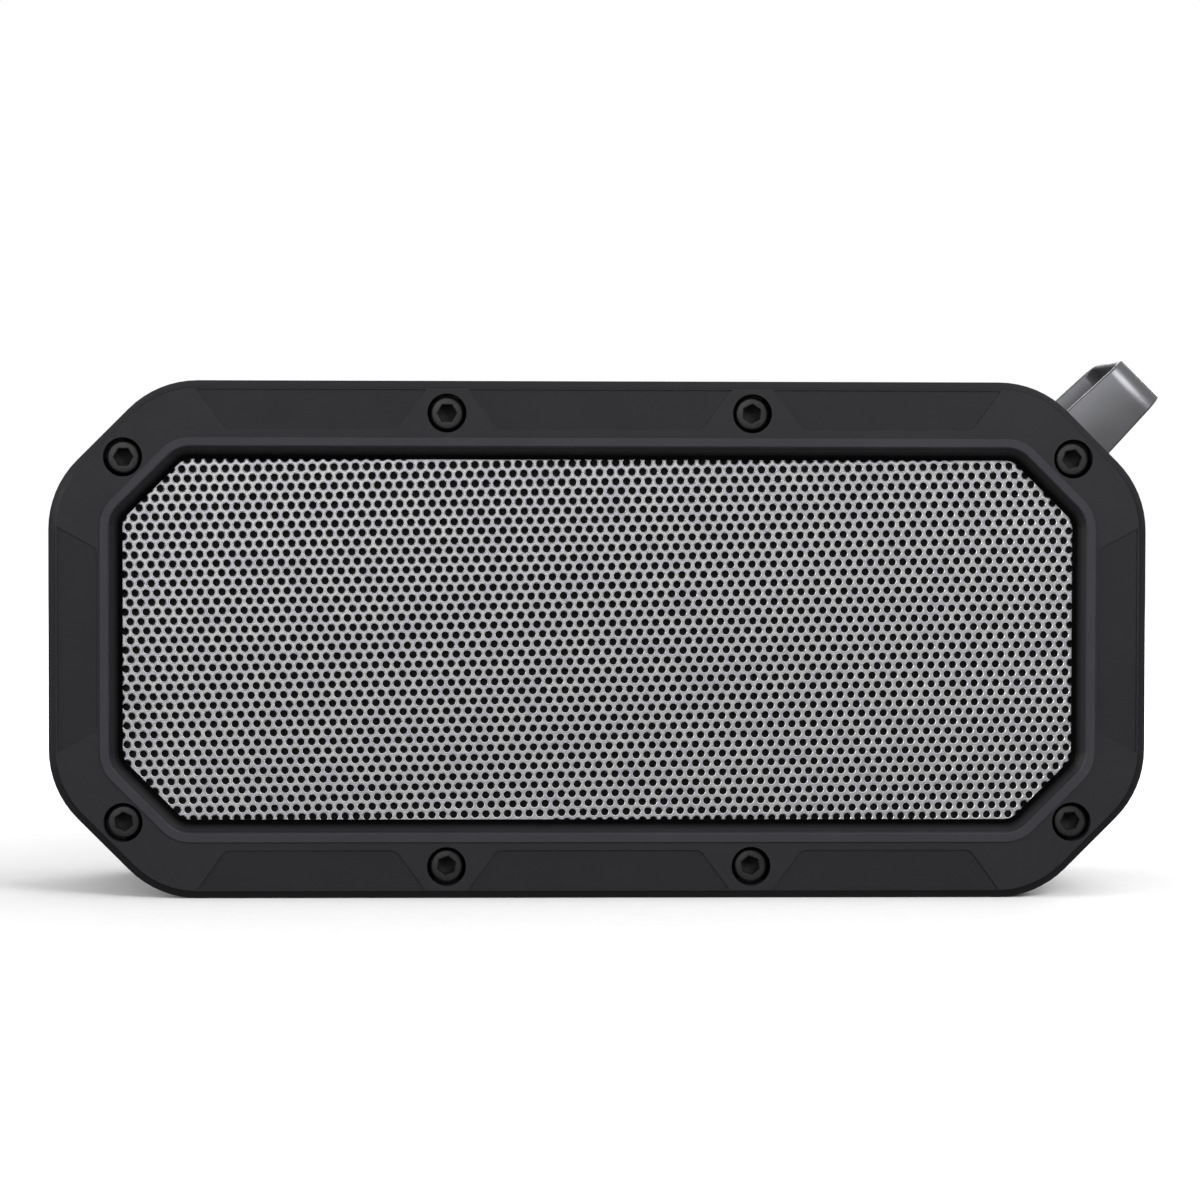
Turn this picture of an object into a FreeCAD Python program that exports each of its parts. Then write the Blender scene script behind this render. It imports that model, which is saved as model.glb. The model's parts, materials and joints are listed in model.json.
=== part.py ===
"""Rugged shower speaker: a sealed octagonal housing with a grille on each face, two drivers,
a passive radiator, top buttons, a side port cover and a fixed strap loop.

Axes: +X to the listener's right, -Y towards the listener, +Z up. The origin is the middle of the
rubber foot that the speaker stands on. All sizes are millimetres and live in the Dims sheet.
Every sub-part is drawn about the housing's centre and lifted by half the body height.
"""

import FreeCAD, Part

import math
import os

import Sketcher
from FreeCAD import Placement, Rotation, Vector

DIMENSIONS = {
    # housing outline, shared by both bezels
    "body_width": 152.0,
    "body_height": 71.6,
    "body_depth": 46.0,
    "corner_leg": 15.0,
    "corner_radius": 13.5,
    # bezels
    "bezel_depth": 8.5,
    "edge_chamfer": 1.1,
    "lip_height": 0.25,
    "lip_width": 1.1,
    "wall_slope": 1.9,
    "face_thickness": 2.6,
    "skirt": 2.2,
    "panel_depth": 0.22,
    "panel_radius": 1.3,
    "opening_width": 131.7,
    "opening_height": 49.9,
    "opening_leg": 8.4,
    "opening_radius": 2.5,
    # grilles and their cloths
    "grille_thickness": 1.0,
    "grille_inset": 2.2,
    "grille_lap": 1.2,
    "cloth_thickness": 0.3,
    "cloth_gap": 0.1,
    # screws and inserts
    "corner_screw_x": 65.7,
    "corner_screw_z": 25.2,
    "middle_screw_x": 21.1,
    "middle_screw_z": 31.35,
    "screw_pocket_radius": 2.7,
    "screw_seat": 4.0,
    "screw_head_radius": 2.25,
    "screw_head_height": 2.5,
    "screw_shank_radius": 1.2,
    "screw_length": 10.0,
    "screw_hex_radius": 1.3,
    "screw_hex_depth": 1.3,
    "clearance_radius": 1.45,
    "column_radius": 3.3,
    "insert_radius": 1.85,
    "insert_bore_radius": 1.25,
    "insert_length": 5.0,
    # middle shell
    "shell_inset": 1.2,
    "shell_wall": 2.5,
    "flange_width": 5.0,
    "flange_thickness": 2.5,
    "boss_radius": 2.9,
    "boss_depth": 7.0,
    "pilot_radius": 0.8,
    "seal_thickness": 0.8,
    "baffle_thickness": 2.2,
    "baffle_inset": 2.6,
    # drivers and passive radiator
    "driver_x": 36.0,
    "driver_hole_radius": 20.5,
    "ear_offset": 17.7,
    "ear_hole_radius": 1.0,
    "radiator_width": 84.0,
    "radiator_height": 40.0,
    "radiator_surround": 8.0,
    "radiator_lap": 3.0,
    "radiator_rubber": 0.6,
    "radiator_plate": 1.2,
    # buttons
    "button_pitch": 22.0,
    "button_length": 14.0,
    "button_width": 8.0,
    "button_gap": 0.3,
    "button_proud": 0.8,
    "button_flange": 0.9,
    "button_board_top": 25.0,
    "switch_top": 27.9,
    "plunger_top": 28.6,
    # main board, on posts behind the rear baffle
    "board_side": 40.0,
    "board_x": -50.5,
    "board_face": 7.0,
    "board_thickness": 1.2,
    # side ports
    "port_depth_offset": 4.4,
    "port_cover_height": 26.0,
    "port_cover_width": 12.4,
    "port_recess": 1.5,
    "jack_bore_radius": 1.8,
    "usb_height": -6.0,
    "jack_height": 5.5,
    "lamp_height": 16.5,
    "hinge_height": -13.8,
    # strap loop
    "loop_depth": 26.0,
    "loop_width": 8.0,
    "loop_reach": 12.0,
    "loop_band": 1.2,
    "loop_radius": 3.2,
    "loop_seat": 1.0,
    "loop_screw_offset": 4.0,
    # foot
    "foot_length": 90.0,
    "foot_width": 20.0,
    # battery, between the drivers
    "battery_width": 19.4,
    "battery_depth": 14.0,
    "battery_height": 45.0,
    "battery_drop": -3.2,
}
OCTAGON_SHRINK = 2 - math.sqrt(2)

DOC = FreeCAD.newDocument("shower_speaker")
SUB_PARTS = []


def make_sheet():
    """The driving dimensions, one named cell each."""
    sheet = DOC.addObject("Spreadsheet::Sheet", "Dims")
    for row, (alias, size) in enumerate(DIMENSIONS.items(), start=1):
        sheet.set(f"A{row}", alias)
        sheet.set(f"B{row}", str(size))
        sheet.setAlias(f"B{row}", alias)
    DOC.recompute()
    return sheet


SHEET = make_sheet()
FRONT = "Dims.body_depth / 2"
RIM = "(Dims.body_depth / 2 - Dims.bezel_depth)"
BAFFLE_BACK = "(Dims.body_depth / 2 - Dims.bezel_depth + Dims.seal_thickness)"
BAFFLE_FRONT = "(Dims.body_depth / 2 - Dims.bezel_depth + Dims.seal_thickness + Dims.baffle_thickness)"


def size_of(expression):
    """The present number behind an expression."""
    return float(SHEET.evalExpression(str(expression)))


# ---------------------------------------------------------------- outlines


def octagon(width, height, leg, inset="0"):
    """Corners of an octagon with 45 degree corners, drawn in by inset on every side."""
    w = f"(({width}) / 2 - ({inset}))"
    h = f"(({height}) / 2 - ({inset}))"
    c = f"(({leg}) - ({inset}) * {OCTAGON_SHRINK})"
    return [
        (w, f"-({h} - {c})"),
        (w, f"{h} - {c}"),
        (f"{w} - {c}", h),
        (f"-({w} - {c})", h),
        (f"-{w}", f"{h} - {c}"),
        (f"-{w}", f"-({h} - {c})"),
        (f"-({w} - {c})", f"-{h}"),
        (f"{w} - {c}", f"-{h}"),
    ]


def outline(inset="0"):
    return octagon("Dims.body_width", "Dims.body_height", "Dims.corner_leg", inset)


def opening(outset="0"):
    return octagon("Dims.opening_width", "Dims.opening_height", "Dims.opening_leg", f"-({outset})")


def rectangle(x, z, width, height):
    left, right = f"({x}) - ({width}) / 2", f"({x}) + ({width}) / 2"
    low, high = f"({z}) - ({height}) / 2", f"({z}) + ({height}) / 2"
    return [(left, low), (right, low), (right, high), (left, high)]


def screw_places():
    """The eight screw positions round a bezel, as (x, z) expressions."""
    places = []
    for spot in ("corner_screw", "middle_screw"):
        for side in ("", "-"):
            for end in ("", "-"):
                places.append((f"{side}Dims.{spot}_x", f"{end}Dims.{spot}_z"))
    return places


# ---------------------------------------------------------------- PartDesign helpers


def new_body(label):
    body = DOC.addObject("PartDesign::Body", label)
    body.Label = label
    return body


def new_sketch(body, role="XZ_Plane", offset="0"):
    """A sketch on one of the body's own planes. On XZ_Plane a positive offset is towards -Y."""
    base = next(item for item in body.Origin.OriginFeatures if item.Role == role)
    sketch = body.newObject("Sketcher::SketchObject", "Sketch")
    sketch.AttachmentSupport = (base, [""])
    sketch.MapMode = "FlatFace"
    sketch.setExpression("AttachmentOffset.Base.z", offset)
    return sketch


def pin_point(sketch, geometry, point, x, z):
    for axis, expression in (("DistanceX", x), ("DistanceY", z)):
        constraint = Sketcher.Constraint(axis, -1, 1, geometry, point, size_of(expression))
        index = sketch.addConstraint(constraint)
        sketch.setExpression(f"Constraints[{index}]", str(expression))


def add_polygon(sketch, corners):
    """A closed outline of straight lines whose corners follow the sheet."""
    spots = [Vector(size_of(x), size_of(z), 0) for x, z in corners]
    count = len(spots)
    first = sketch.GeometryCount
    for index, spot in enumerate(spots):
        sketch.addGeometry(Part.LineSegment(spot, spots[(index + 1) % count]))
    for index in range(count):
        after = first + (index + 1) % count
        sketch.addConstraint(Sketcher.Constraint("Coincident", first + index, 2, after, 1))
    for index, (x, z) in enumerate(corners):
        pin_point(sketch, first + index, 1, x, z)


def add_circle(sketch, x, z, radius):
    centre = Vector(size_of(x), size_of(z), 0)
    index = sketch.addGeometry(Part.Circle(centre, Vector(0, 0, 1), size_of(radius)))
    constraint = sketch.addConstraint(Sketcher.Constraint("Radius", index, size_of(radius)))
    sketch.setExpression(f"Constraints[{constraint}]", str(radius))
    pin_point(sketch, index, 3, x, z)


def pad(body, sketch, length, both_ways=False, backwards=False):
    feature = body.newObject("PartDesign::Pad", "Pad")
    feature.Profile = sketch
    feature.setExpression("Length", length)
    feature.SideType = "Symmetric" if both_ways else "One side"
    feature.Reversed = backwards
    DOC.recompute()
    return feature


def pocket(body, sketch, length, both_ways=False, backwards=False):
    """Cuts away from the sketch's normal, or along it when backwards, and must remove material."""
    before = body.Shape.Volume
    feature = body.newObject("PartDesign::Pocket", "Pocket")
    feature.Profile = sketch
    feature.setExpression("Length", length)
    feature.SideType = "Symmetric" if both_ways else "One side"
    feature.Reversed = backwards
    DOC.recompute()
    if not body.Shape.Volume < before - 1e-6:
        raise ValueError(f"a pocket in {body.Label} removes nothing")
    return feature


def matching_edges(feature, test):
    return [f"Edge{n}" for n, edge in enumerate(feature.Shape.Edges, start=1) if test(edge)]


def on_outline(x, z, width, height, leg):
    """True where a point lies on the octagon of the given size."""
    side = abs(abs(x) - width / 2) < 0.02
    top = abs(abs(z) - height / 2) < 0.02
    slant = abs(abs(x) + abs(z) - (width / 2 + height / 2 - leg)) < 0.02
    return side or top or slant


def octagon_sizes(corners):
    """Width, height and corner leg of an octagon given by its corner expressions."""
    half_w, half_h = size_of(corners[0][0]), size_of(corners[2][1])
    return 2 * half_w, 2 * half_h, half_w - size_of(corners[2][0])


def round_corners(body, corners, radius):
    """Rounds the upright edges of a prism that stand on the octagon's corners."""
    spots = [(size_of(x), size_of(z)) for x, z in corners]

    def stands_on_corner(edge):
        ends = edge.Vertexes
        if len(ends) != 2 or abs(ends[0].X - ends[1].X) + abs(ends[0].Z - ends[1].Z) > 1e-5:
            return False
        return any(math.hypot(ends[0].X - x, ends[0].Z - z) < 1e-3 for x, z in spots)

    tip = body.Tip
    feature = body.newObject("PartDesign::Fillet", "Fillet")
    feature.Base = (tip, matching_edges(tip, stands_on_corner))
    feature.setExpression("Radius", radius)
    DOC.recompute()
    return feature


def chamfer_edges(body, test, size):
    tip = body.Tip
    feature = body.newObject("PartDesign::Chamfer", "Chamfer")
    feature.Base = (tip, matching_edges(tip, test))
    feature.setExpression("Size", size)
    DOC.recompute()
    return feature


def rim_edge_test(y, corners):
    """Edges that run round the octagon's outline at one depth, rounded corners included."""
    width, height, leg = octagon_sizes(corners)

    def follows(edge):
        box = edge.BoundBox
        if box.YMax - box.YMin > 1e-4 or abs(box.YMin - y) > 1e-4:
            return False
        middle = edge.valueAt((edge.FirstParameter + edge.LastParameter) / 2)
        ends = [vertex.Point for vertex in edge.Vertexes]
        straight = on_outline(middle.x, middle.z, width, height, leg)
        return straight or all(on_outline(p.x, p.z, width, height, leg) for p in ends)

    return follows


def turned(label, profile):
    """A body turned about its Y axis from a profile of (radius, y) points."""
    body = new_body(label)
    sketch = new_sketch(body, "XY_Plane")
    add_polygon(sketch, [(str(radius), str(y)) for radius, y in profile])
    feature = body.newObject("PartDesign::Revolution", "Revolution")
    feature.Profile = sketch
    feature.ReferenceAxis = (sketch, ["V_Axis"])
    feature.Angle = 360
    DOC.recompute()
    return body


def prism(label, corners, near, thickness, holes=(), role="XZ_Plane"):
    """A flat plate padded from the offset near, along the sketch's normal, with round holes."""
    body = new_body(label)
    sketch = new_sketch(body, role, near)
    add_polygon(sketch, corners)
    for x, z, radius in holes:
        add_circle(sketch, x, z, radius)
    pad(body, sketch, thickness)
    return body


# ---------------------------------------------------------------- Part helpers


def place(obj, x="0", y="0", z="0", rotation=None):
    """Binds a feature's position to the sheet."""
    if rotation is not None:
        obj.Placement = Placement(Vector(0, 0, 0), rotation)
    for axis, expression in (("x", x), ("y", y), ("z", z)):
        obj.setExpression(f"Placement.Base.{axis}", str(expression))
    return obj


def box(x, y, z, length, width, height):
    """A block centred on (x, y, z)."""
    block = DOC.addObject("Part::Box", "Box")
    for name, expression in (("Length", length), ("Width", width), ("Height", height)):
        block.setExpression(name, str(expression))
    return place(block, f"{x} - ({length}) / 2", f"{y} - ({width}) / 2", f"{z} - ({height}) / 2")


TURN_TO = {
    "+X": Rotation(Vector(0, 1, 0), 90),
    "-Y": Rotation(Vector(1, 0, 0), 90),
    "+Y": Rotation(Vector(1, 0, 0), -90),
    "+Z": Rotation(),
}


def rod(x, y, z, radius, length, along="+Z"):
    """A cylinder that starts at (x, y, z) and runs along an axis."""
    cylinder = DOC.addObject("Part::Cylinder", "Rod")
    cylinder.setExpression("Radius", str(radius))
    cylinder.setExpression("Height", str(length))
    return place(cylinder, x, y, z, TURN_TO[along])


def join(items):
    fused = DOC.addObject("Part::MultiFuse", "Join")
    fused.Shapes = items
    return fused


def group(items):
    """Separate solids that share one node."""
    compound = DOC.addObject("Part::Compound", "Group")
    compound.Links = items
    return compound


def cut(base, tools):
    """The base with every tool taken away."""
    tool = tools[0] if len(tools) == 1 else join(tools)
    result = DOC.addObject("Part::Cut", "Cut")
    result.Base = base
    result.Tool = tool
    return result


def soften(base, radius, test):
    """Rounds the edges of a Part feature that pass the test."""
    DOC.recompute()
    feature = DOC.addObject("Part::Fillet", "Fillet")
    feature.Base = base
    numbers = [n for n, edge in enumerate(base.Shape.Edges, start=1) if test(edge)]
    feature.Edges = [(n, radius, radius) for n in numbers]
    return feature


def runs_along(axis):
    """A test for straight edges parallel to X, Y or Z."""
    others = [name for name in "xyz" if name != axis.lower()]

    def test(edge):
        if len(edge.Vertexes) != 2 or edge.Curve.TypeId != "Part::GeomLine":
            return False
        start, end = (vertex.Point for vertex in edge.Vertexes)
        return all(abs(getattr(start, name) - getattr(end, name)) < 1e-6 for name in others)

    return test


def keep(obj, label, x="0", turn=None):
    """Names a finished sub-part and stands it at its place in the speaker."""
    obj.Label = label
    place(obj, x, "0", "Dims.body_height / 2", turn)
    SUB_PARTS.append(obj)
    return obj


HALF_TURN = Rotation(Vector(0, 0, 1), 180)


# ---------------------------------------------------------------- housing


PANEL_OUTER_Z = 34.6
PANEL_INNER_Z = 29.1
PANEL_OUTER_X = 74.7
PANEL_INNER_X = 69.2


def panel_outlines():
    """The shallow trapezoid panels of a bezel: long side outwards, short side inwards."""
    middle = ((-18.2, PANEL_OUTER_Z), (-14.1, PANEL_INNER_Z), (14.1, PANEL_INNER_Z), (18.2, PANEL_OUTER_Z))
    wing = ((24.0, PANEL_OUTER_Z), (28.1, PANEL_INNER_Z), (51.6, PANEL_INNER_Z), (55.6, PANEL_OUTER_Z))
    flank = ((PANEL_OUTER_X, 15.6), (PANEL_INNER_X, 12.6), (PANEL_INNER_X, -12.6), (PANEL_OUTER_X, -15.6))
    panels = []
    for sign in (1, -1):
        panels.append([(x, z * sign) for x, z in middle])
        panels.append([(x * sign, z) for x, z in flank])
        for side in (1, -1):
            panels.append([(x * side, z * sign) for x, z in wing])
    return panels


def build_bezel(label, turn=None):
    """Moulded frame: proud lip, sloped wall, shallow panels, screw pockets and columns behind."""
    body = new_body(label)
    blank = new_sketch(body, offset=RIM)
    add_polygon(blank, outline())
    pad(body, blank, "Dims.bezel_depth")
    round_corners(body, outline(), "Dims.corner_radius")

    step = new_sketch(body, offset=FRONT)
    lip = opening("Dims.wall_slope + Dims.lip_width")
    add_polygon(step, outline("-3"))
    add_polygon(step, lip)
    pocket(body, step, "Dims.lip_height")
    round_corners(body, lip, "Dims.opening_radius + Dims.wall_slope + Dims.lip_width")
    face_y = -size_of(f"{FRONT} - Dims.lip_height")
    chamfer_edges(body, rim_edge_test(face_y, outline()), "Dims.edge_chamfer")

    window = new_sketch(body, offset=FRONT)
    add_polygon(window, opening())
    pocket(body, window, "Dims.bezel_depth")
    round_corners(body, opening(), "Dims.opening_radius")
    chamfer_edges(body, rim_edge_test(-size_of(FRONT), opening()), "Dims.wall_slope")

    panels = new_sketch(body, offset=f"{FRONT} - Dims.lip_height")
    inner_corners = []
    for corners in panel_outlines():
        add_polygon(panels, corners)
        inner_corners.extend(corners[1:3])
    pocket(body, panels, "Dims.panel_depth")
    round_corners(body, inner_corners, "Dims.panel_radius")

    hollow = new_sketch(body, offset=RIM)
    add_polygon(hollow, outline("Dims.skirt"))
    pocket(body, hollow, "Dims.bezel_depth - Dims.face_thickness", backwards=True)
    round_corners(body, outline("Dims.skirt"), "Dims.corner_radius - Dims.skirt")

    rebate = new_sketch(body, offset=RIM)
    add_polygon(rebate, opening("Dims.grille_lap + 0.3"))
    pocket(body, rebate, "Dims.bezel_depth - Dims.grille_inset", backwards=True)

    columns = new_sketch(body, offset=BAFFLE_FRONT)
    for x, z in screw_places():
        add_circle(columns, x, z, "Dims.column_radius")
    pad(body, columns, f"{FRONT} - {BAFFLE_FRONT} - Dims.face_thickness + 0.5")

    for radius, depth in (
        ("Dims.screw_pocket_radius", "Dims.screw_seat"),
        ("Dims.clearance_radius", "Dims.bezel_depth"),
    ):
        holes = new_sketch(body, offset=FRONT)
        for x, z in screw_places():
            add_circle(holes, x, z, radius)
        pocket(body, holes, depth)
    keep(body, label, turn=turn)


def build_grille(label, turn=None):
    """Perforated steel sheet, drawn as its plain blank."""
    back = f"({FRONT} - Dims.grille_inset - Dims.grille_thickness)"
    body = prism(label, opening("Dims.grille_lap"), back, "Dims.grille_thickness")
    round_corners(body, opening("Dims.grille_lap"), "Dims.opening_radius")
    keep(body, label, turn=turn)


def build_cloth(label, turn=None):
    """Acoustic cloth held just behind the grille."""
    front = f"{FRONT} - Dims.grille_inset - Dims.grille_thickness - Dims.cloth_gap"
    back = f"({front} - Dims.cloth_thickness)"
    body = prism(label, opening("Dims.grille_lap - 0.4"), back, "Dims.cloth_thickness")
    keep(body, label, turn=turn)


def build_seal(label, turn=None):
    """Flat gasket between a baffle and the middle shell."""
    body = new_body(label)
    sketch = new_sketch(body, offset=RIM)
    add_polygon(sketch, outline("Dims.baffle_inset"))
    add_polygon(sketch, outline("Dims.shell_inset + Dims.flange_width"))
    for x, z in screw_places():
        add_circle(sketch, x, z, "Dims.clearance_radius")
    pad(body, sketch, "Dims.seal_thickness")
    round_corners(body, outline("Dims.baffle_inset"), "Dims.corner_radius - Dims.baffle_inset")
    keep(body, label, turn=turn)


def build_front_baffle():
    """Plate that carries the two drivers."""
    holes = [(x, z, "Dims.clearance_radius") for x, z in screw_places()]
    for side in ("-", ""):
        holes.append((side + "Dims.driver_x", "0", "Dims.driver_hole_radius"))
        for ear_x in ("-", "+"):
            for ear_z in ("-", "+"):
                x = f"{side}Dims.driver_x {ear_x} Dims.ear_offset"
                holes.append((x, f"0 {ear_z} Dims.ear_offset", "0.9 * Dims.ear_hole_radius"))
    body = prism("front_baffle", outline("Dims.baffle_inset"), BAFFLE_BACK, "Dims.baffle_thickness", holes)
    round_corners(body, outline("Dims.baffle_inset"), "Dims.corner_radius - Dims.baffle_inset")
    keep(body, "front_baffle")


BOARD_POSTS = [(x, z) for x in (-66.0, -48.5) for z in (-17.0, 17.0)]
BOARD_BACK = "(Dims.board_face + Dims.board_thickness)"
POST_RADIUS = "2.2"


def build_rear_baffle():
    """Plate with the passive radiator's window and the circuit board's posts."""
    holes = [(x, z, "Dims.clearance_radius") for x, z in screw_places()]
    body = prism("rear_baffle", outline("Dims.baffle_inset"), BAFFLE_BACK, "Dims.baffle_thickness", holes)
    round_corners(body, outline("Dims.baffle_inset"), "Dims.corner_radius - Dims.baffle_inset")
    window = new_sketch(body, offset=BAFFLE_FRONT)
    corners = rectangle("0", "0", "Dims.radiator_width", "Dims.radiator_height")
    add_polygon(window, corners)
    pocket(body, window, "Dims.baffle_thickness")
    round_corners(body, corners, "Dims.radiator_height / 2 - 0.1")
    # the plate is turned about Z afterwards, so its posts are drawn mirrored in x
    posts = new_sketch(body, offset=BOARD_BACK)
    pilots = new_sketch(body, offset=BOARD_BACK)
    for x, z in BOARD_POSTS:
        add_circle(posts, str(-x), str(z), POST_RADIUS)
        add_circle(pilots, str(-x), str(z), "Dims.pilot_radius")
    pad(body, posts, f"{BAFFLE_BACK} - {BOARD_BACK}")
    pocket(body, pilots, "4", backwards=True)
    keep(body, "rear_baffle", turn=HALF_TURN)


BUTTON_NAMES = ("power", "volume_down", "play", "volume_up")


def button_x(index):
    """Centre of one of the four top buttons."""
    return f"({index - 1.5}) * Dims.button_pitch"


LOOP_FLOOR = "(Dims.shell_inset + Dims.loop_seat)"
LOOP_CORNER_X = "(Dims.body_width / 2 - Dims.corner_leg / 2)"
LOOP_CORNER_Z = "(Dims.body_height / 2 - Dims.corner_leg / 2)"
LOOP_LEAN = math.sqrt(0.5)
LOOP_TURN = Rotation(Vector(0, 1, 0), 45)


def at_corner(obj, across="0", y="0", out="0"):
    """Stands a piece at the upper right corner, whose own Z points out at 45 degrees."""
    obj.Placement = Placement(Vector(0, 0, 0), LOOP_TURN)
    obj.setExpression("Placement.Base.x", f"{LOOP_CORNER_X} + (({out}) + ({across})) * {LOOP_LEAN}")
    obj.setExpression("Placement.Base.y", y)
    obj.setExpression("Placement.Base.z", f"{LOOP_CORNER_Z} + (({out}) - ({across})) * {LOOP_LEAN}")
    return obj


def loop_block(width, depth, low, height):
    """A block across the upper right corner, from low to low + height along its normal."""
    block = DOC.addObject("Part::Box", "Box")
    for name, expression in (("Length", width), ("Width", depth), ("Height", height)):
        block.setExpression(name, expression)
    return at_corner(block, f"-({width}) / 2", f"-({depth}) / 2", low)


def loop_rod(side, radius, low, length):
    """A rod along the upper right corner's normal, at one of the loop's two screws."""
    cylinder = DOC.addObject("Part::Cylinder", "Rod")
    cylinder.setExpression("Radius", radius)
    cylinder.setExpression("Height", length)
    return at_corner(cylinder, y=f"{side} * Dims.loop_screw_offset", out=low)


def build_middle_shell():
    """Tube between the bezels: end flanges, bosses, button windows, port recess and loop seat."""
    body = new_body("middle_shell_blank")
    blank = new_sketch(body, offset=f"-{RIM}")
    add_polygon(blank, outline("Dims.shell_inset"))
    pad(body, blank, f"2 * {RIM}")
    round_corners(body, outline("Dims.shell_inset"), "Dims.corner_radius - Dims.shell_inset")
    bore = new_sketch(body, offset=RIM)
    flange_bore = outline("Dims.shell_inset + Dims.flange_width")
    add_polygon(bore, flange_bore)
    pocket(body, bore, f"2 * {RIM}")
    cavity = new_sketch(body)
    inner = outline("Dims.shell_inset + Dims.shell_wall")
    add_polygon(cavity, inner)
    pocket(body, cavity, f"2 * ({RIM} - Dims.flange_thickness)", both_ways=True)
    round_corners(body, inner, "Dims.corner_radius - Dims.shell_inset - Dims.shell_wall")
    for side in (1, -1):
        bosses = new_sketch(body, offset=f"{side} * ({RIM} - Dims.boss_depth)")
        for x, z in screw_places():
            add_circle(bosses, x, z, "Dims.boss_radius")
        pad(body, bosses, "Dims.boss_depth - 0.5", backwards=side < 0)
        holes = new_sketch(body, offset=f"{side} * {RIM}")
        for x, z in screw_places():
            add_circle(holes, x, z, "Dims.insert_radius")
        pocket(body, holes, "Dims.boss_depth - 0.8", backwards=side < 0)

    tools = button_windows() + port_cuts() + loop_seat_cuts()
    additions = [loop_block("9", "13", f"-{LOOP_FLOOR} - 3.2", "3")]
    post_low = "Dims.button_board_top"
    for x in BUTTON_BOARD_POSTS:
        length = f"{WALL_TOP} - Dims.shell_wall + 0.5 - {post_low}"
        additions.append(rod(str(x), "0", post_low, "2.4", length))
        tools.append(rod(str(x), "0", f"{post_low} - 0.1", "Dims.pilot_radius", "3"))
    keep(cut(join([body] + additions), tools), "middle_shell")


WALL_TOP = "(Dims.body_height / 2 - Dims.shell_inset)"
SHELL_SIDE = "(Dims.body_width / 2 - Dims.shell_inset)"
HINGE_X = f"(0.5 - {SHELL_SIDE})"
PORT_Y = "Dims.port_depth_offset"


def button_windows():
    """Rounded windows for the keys in the shell's top wall."""
    windows = []
    for index in range(len(BUTTON_NAMES)):
        length = "Dims.button_length + 2 * Dims.button_gap"
        width = "Dims.button_width + 2 * Dims.button_gap"
        window = box(button_x(index), "0", WALL_TOP, length, width, "3 * Dims.shell_wall")
        radius = size_of("Dims.button_width / 2 + Dims.button_gap - 0.05")
        windows.append(soften(window, radius, runs_along("Z")))
    return windows


def port_cuts():
    """The port recess on the left side, with its sockets' holes, lamp hole and hinge pin hole."""
    recess = box(f"-{SHELL_SIDE}", PORT_Y, "0", "2 * Dims.port_recess",
                 "Dims.port_cover_width + 0.6", "Dims.port_cover_height + 4")
    return [
        soften(recess, 0.5, runs_along("X")),
        box(f"-{SHELL_SIDE}", PORT_Y, "Dims.usb_height", "8", "3.6", "9"),
        rod(f"-{SHELL_SIDE} - 1", PORT_Y, "Dims.jack_height", "3.3", "6", "+X"),
        rod(f"-{SHELL_SIDE} - 1", PORT_Y, "Dims.lamp_height", "0.8", "7", "+X"),
        rod(HINGE_X, f"{PORT_Y} - 7.6", "Dims.hinge_height", "0.32", "15.2", "+Y"),
    ]


def loop_seat_cuts():
    """The strap loop's seat in the upper right corner, and the pilot holes of its screws."""
    seat = loop_block("Dims.loop_width + 0.5", "Dims.loop_depth + 0.5", f"-{LOOP_FLOOR}", "4")
    pilots = [loop_rod(side, "Dims.pilot_radius", f"-{LOOP_FLOOR} - 3", "4") for side in (1, -1)]
    return [seat] + pilots


def loop_outline(inset):
    """The band's side view as (y, out) corners, drawn in by inset on every side."""
    side = f"(Dims.loop_depth / 2 - {inset})"
    base = f"{inset} - {LOOP_FLOOR}"
    crown = f"Dims.loop_reach - {inset}"
    return [(f"-{side}", base), (side, base), (side, crown), (f"-{side}", crown)]


def build_strap_loop():
    """Closed band: a base strip in the shell's seat and a flat-topped arch out of the corner."""
    body = new_body("strap_loop_band")
    sketch = new_sketch(body, "YZ_Plane", "-Dims.loop_width / 2")
    outer, inner = loop_outline("0"), loop_outline("Dims.loop_band")
    add_polygon(sketch, outer)
    add_polygon(sketch, inner)
    pad(body, sketch, "Dims.loop_width")
    round_shoulders(body, outer, "Dims.loop_radius")
    round_shoulders(body, inner, "Dims.loop_radius - Dims.loop_band")
    at_corner(body)
    holes = [loop_rod(side, "1.1", f"-{LOOP_FLOOR} - 1", "4") for side in (1, -1)]
    keep(cut(body, holes), "strap_loop")


def round_shoulders(body, corners, radius):
    """Rounds the two shoulders of the band's outline, whose edges run parallel to X."""
    spots = [(size_of(y), size_of(out)) for y, out in corners[2:]]

    def stands(edge):
        ends = edge.Vertexes
        if len(ends) != 2 or abs(ends[0].Y - ends[1].Y) + abs(ends[0].Z - ends[1].Z) > 1e-5:
            return False
        return any(math.hypot(ends[0].Y - y, ends[0].Z - z) < 1e-3 for y, z in spots)

    tip = body.Tip
    feature = body.newObject("PartDesign::Fillet", "Fillet")
    feature.Base = (tip, matching_edges(tip, stands))
    feature.setExpression("Radius", radius)
    DOC.recompute()


def build_loop_screws():
    screws = []
    for side in (1, -1):
        floor = f"(-{LOOP_FLOOR} + Dims.loop_band)"
        head = loop_rod(side, "1.8", floor, "0.9")
        shank = loop_rod(side, "0.75", f"{floor} - 3.4", "3.5")
        socket = loop_rod(side, "0.6", f"{floor} + 0.4", "1")
        screws.append(cut(join([head, shank]), [socket]))
    keep(group(screws), "strap_loop_screws")


def build_rubber_foot():
    """Foot strip under the middle shell, level with both bezels."""
    foot = box("0", "0", "-Dims.body_height / 2 + Dims.shell_inset / 2", "Dims.foot_length",
               "Dims.foot_width", "Dims.shell_inset")
    keep(soften(foot, 3.0, runs_along("Z")), "rubber_foot")


# ---------------------------------------------------------------- fasteners


HEX_TURNS = (10, 5, 0, 36, 27, 40, 0, 21)


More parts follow.
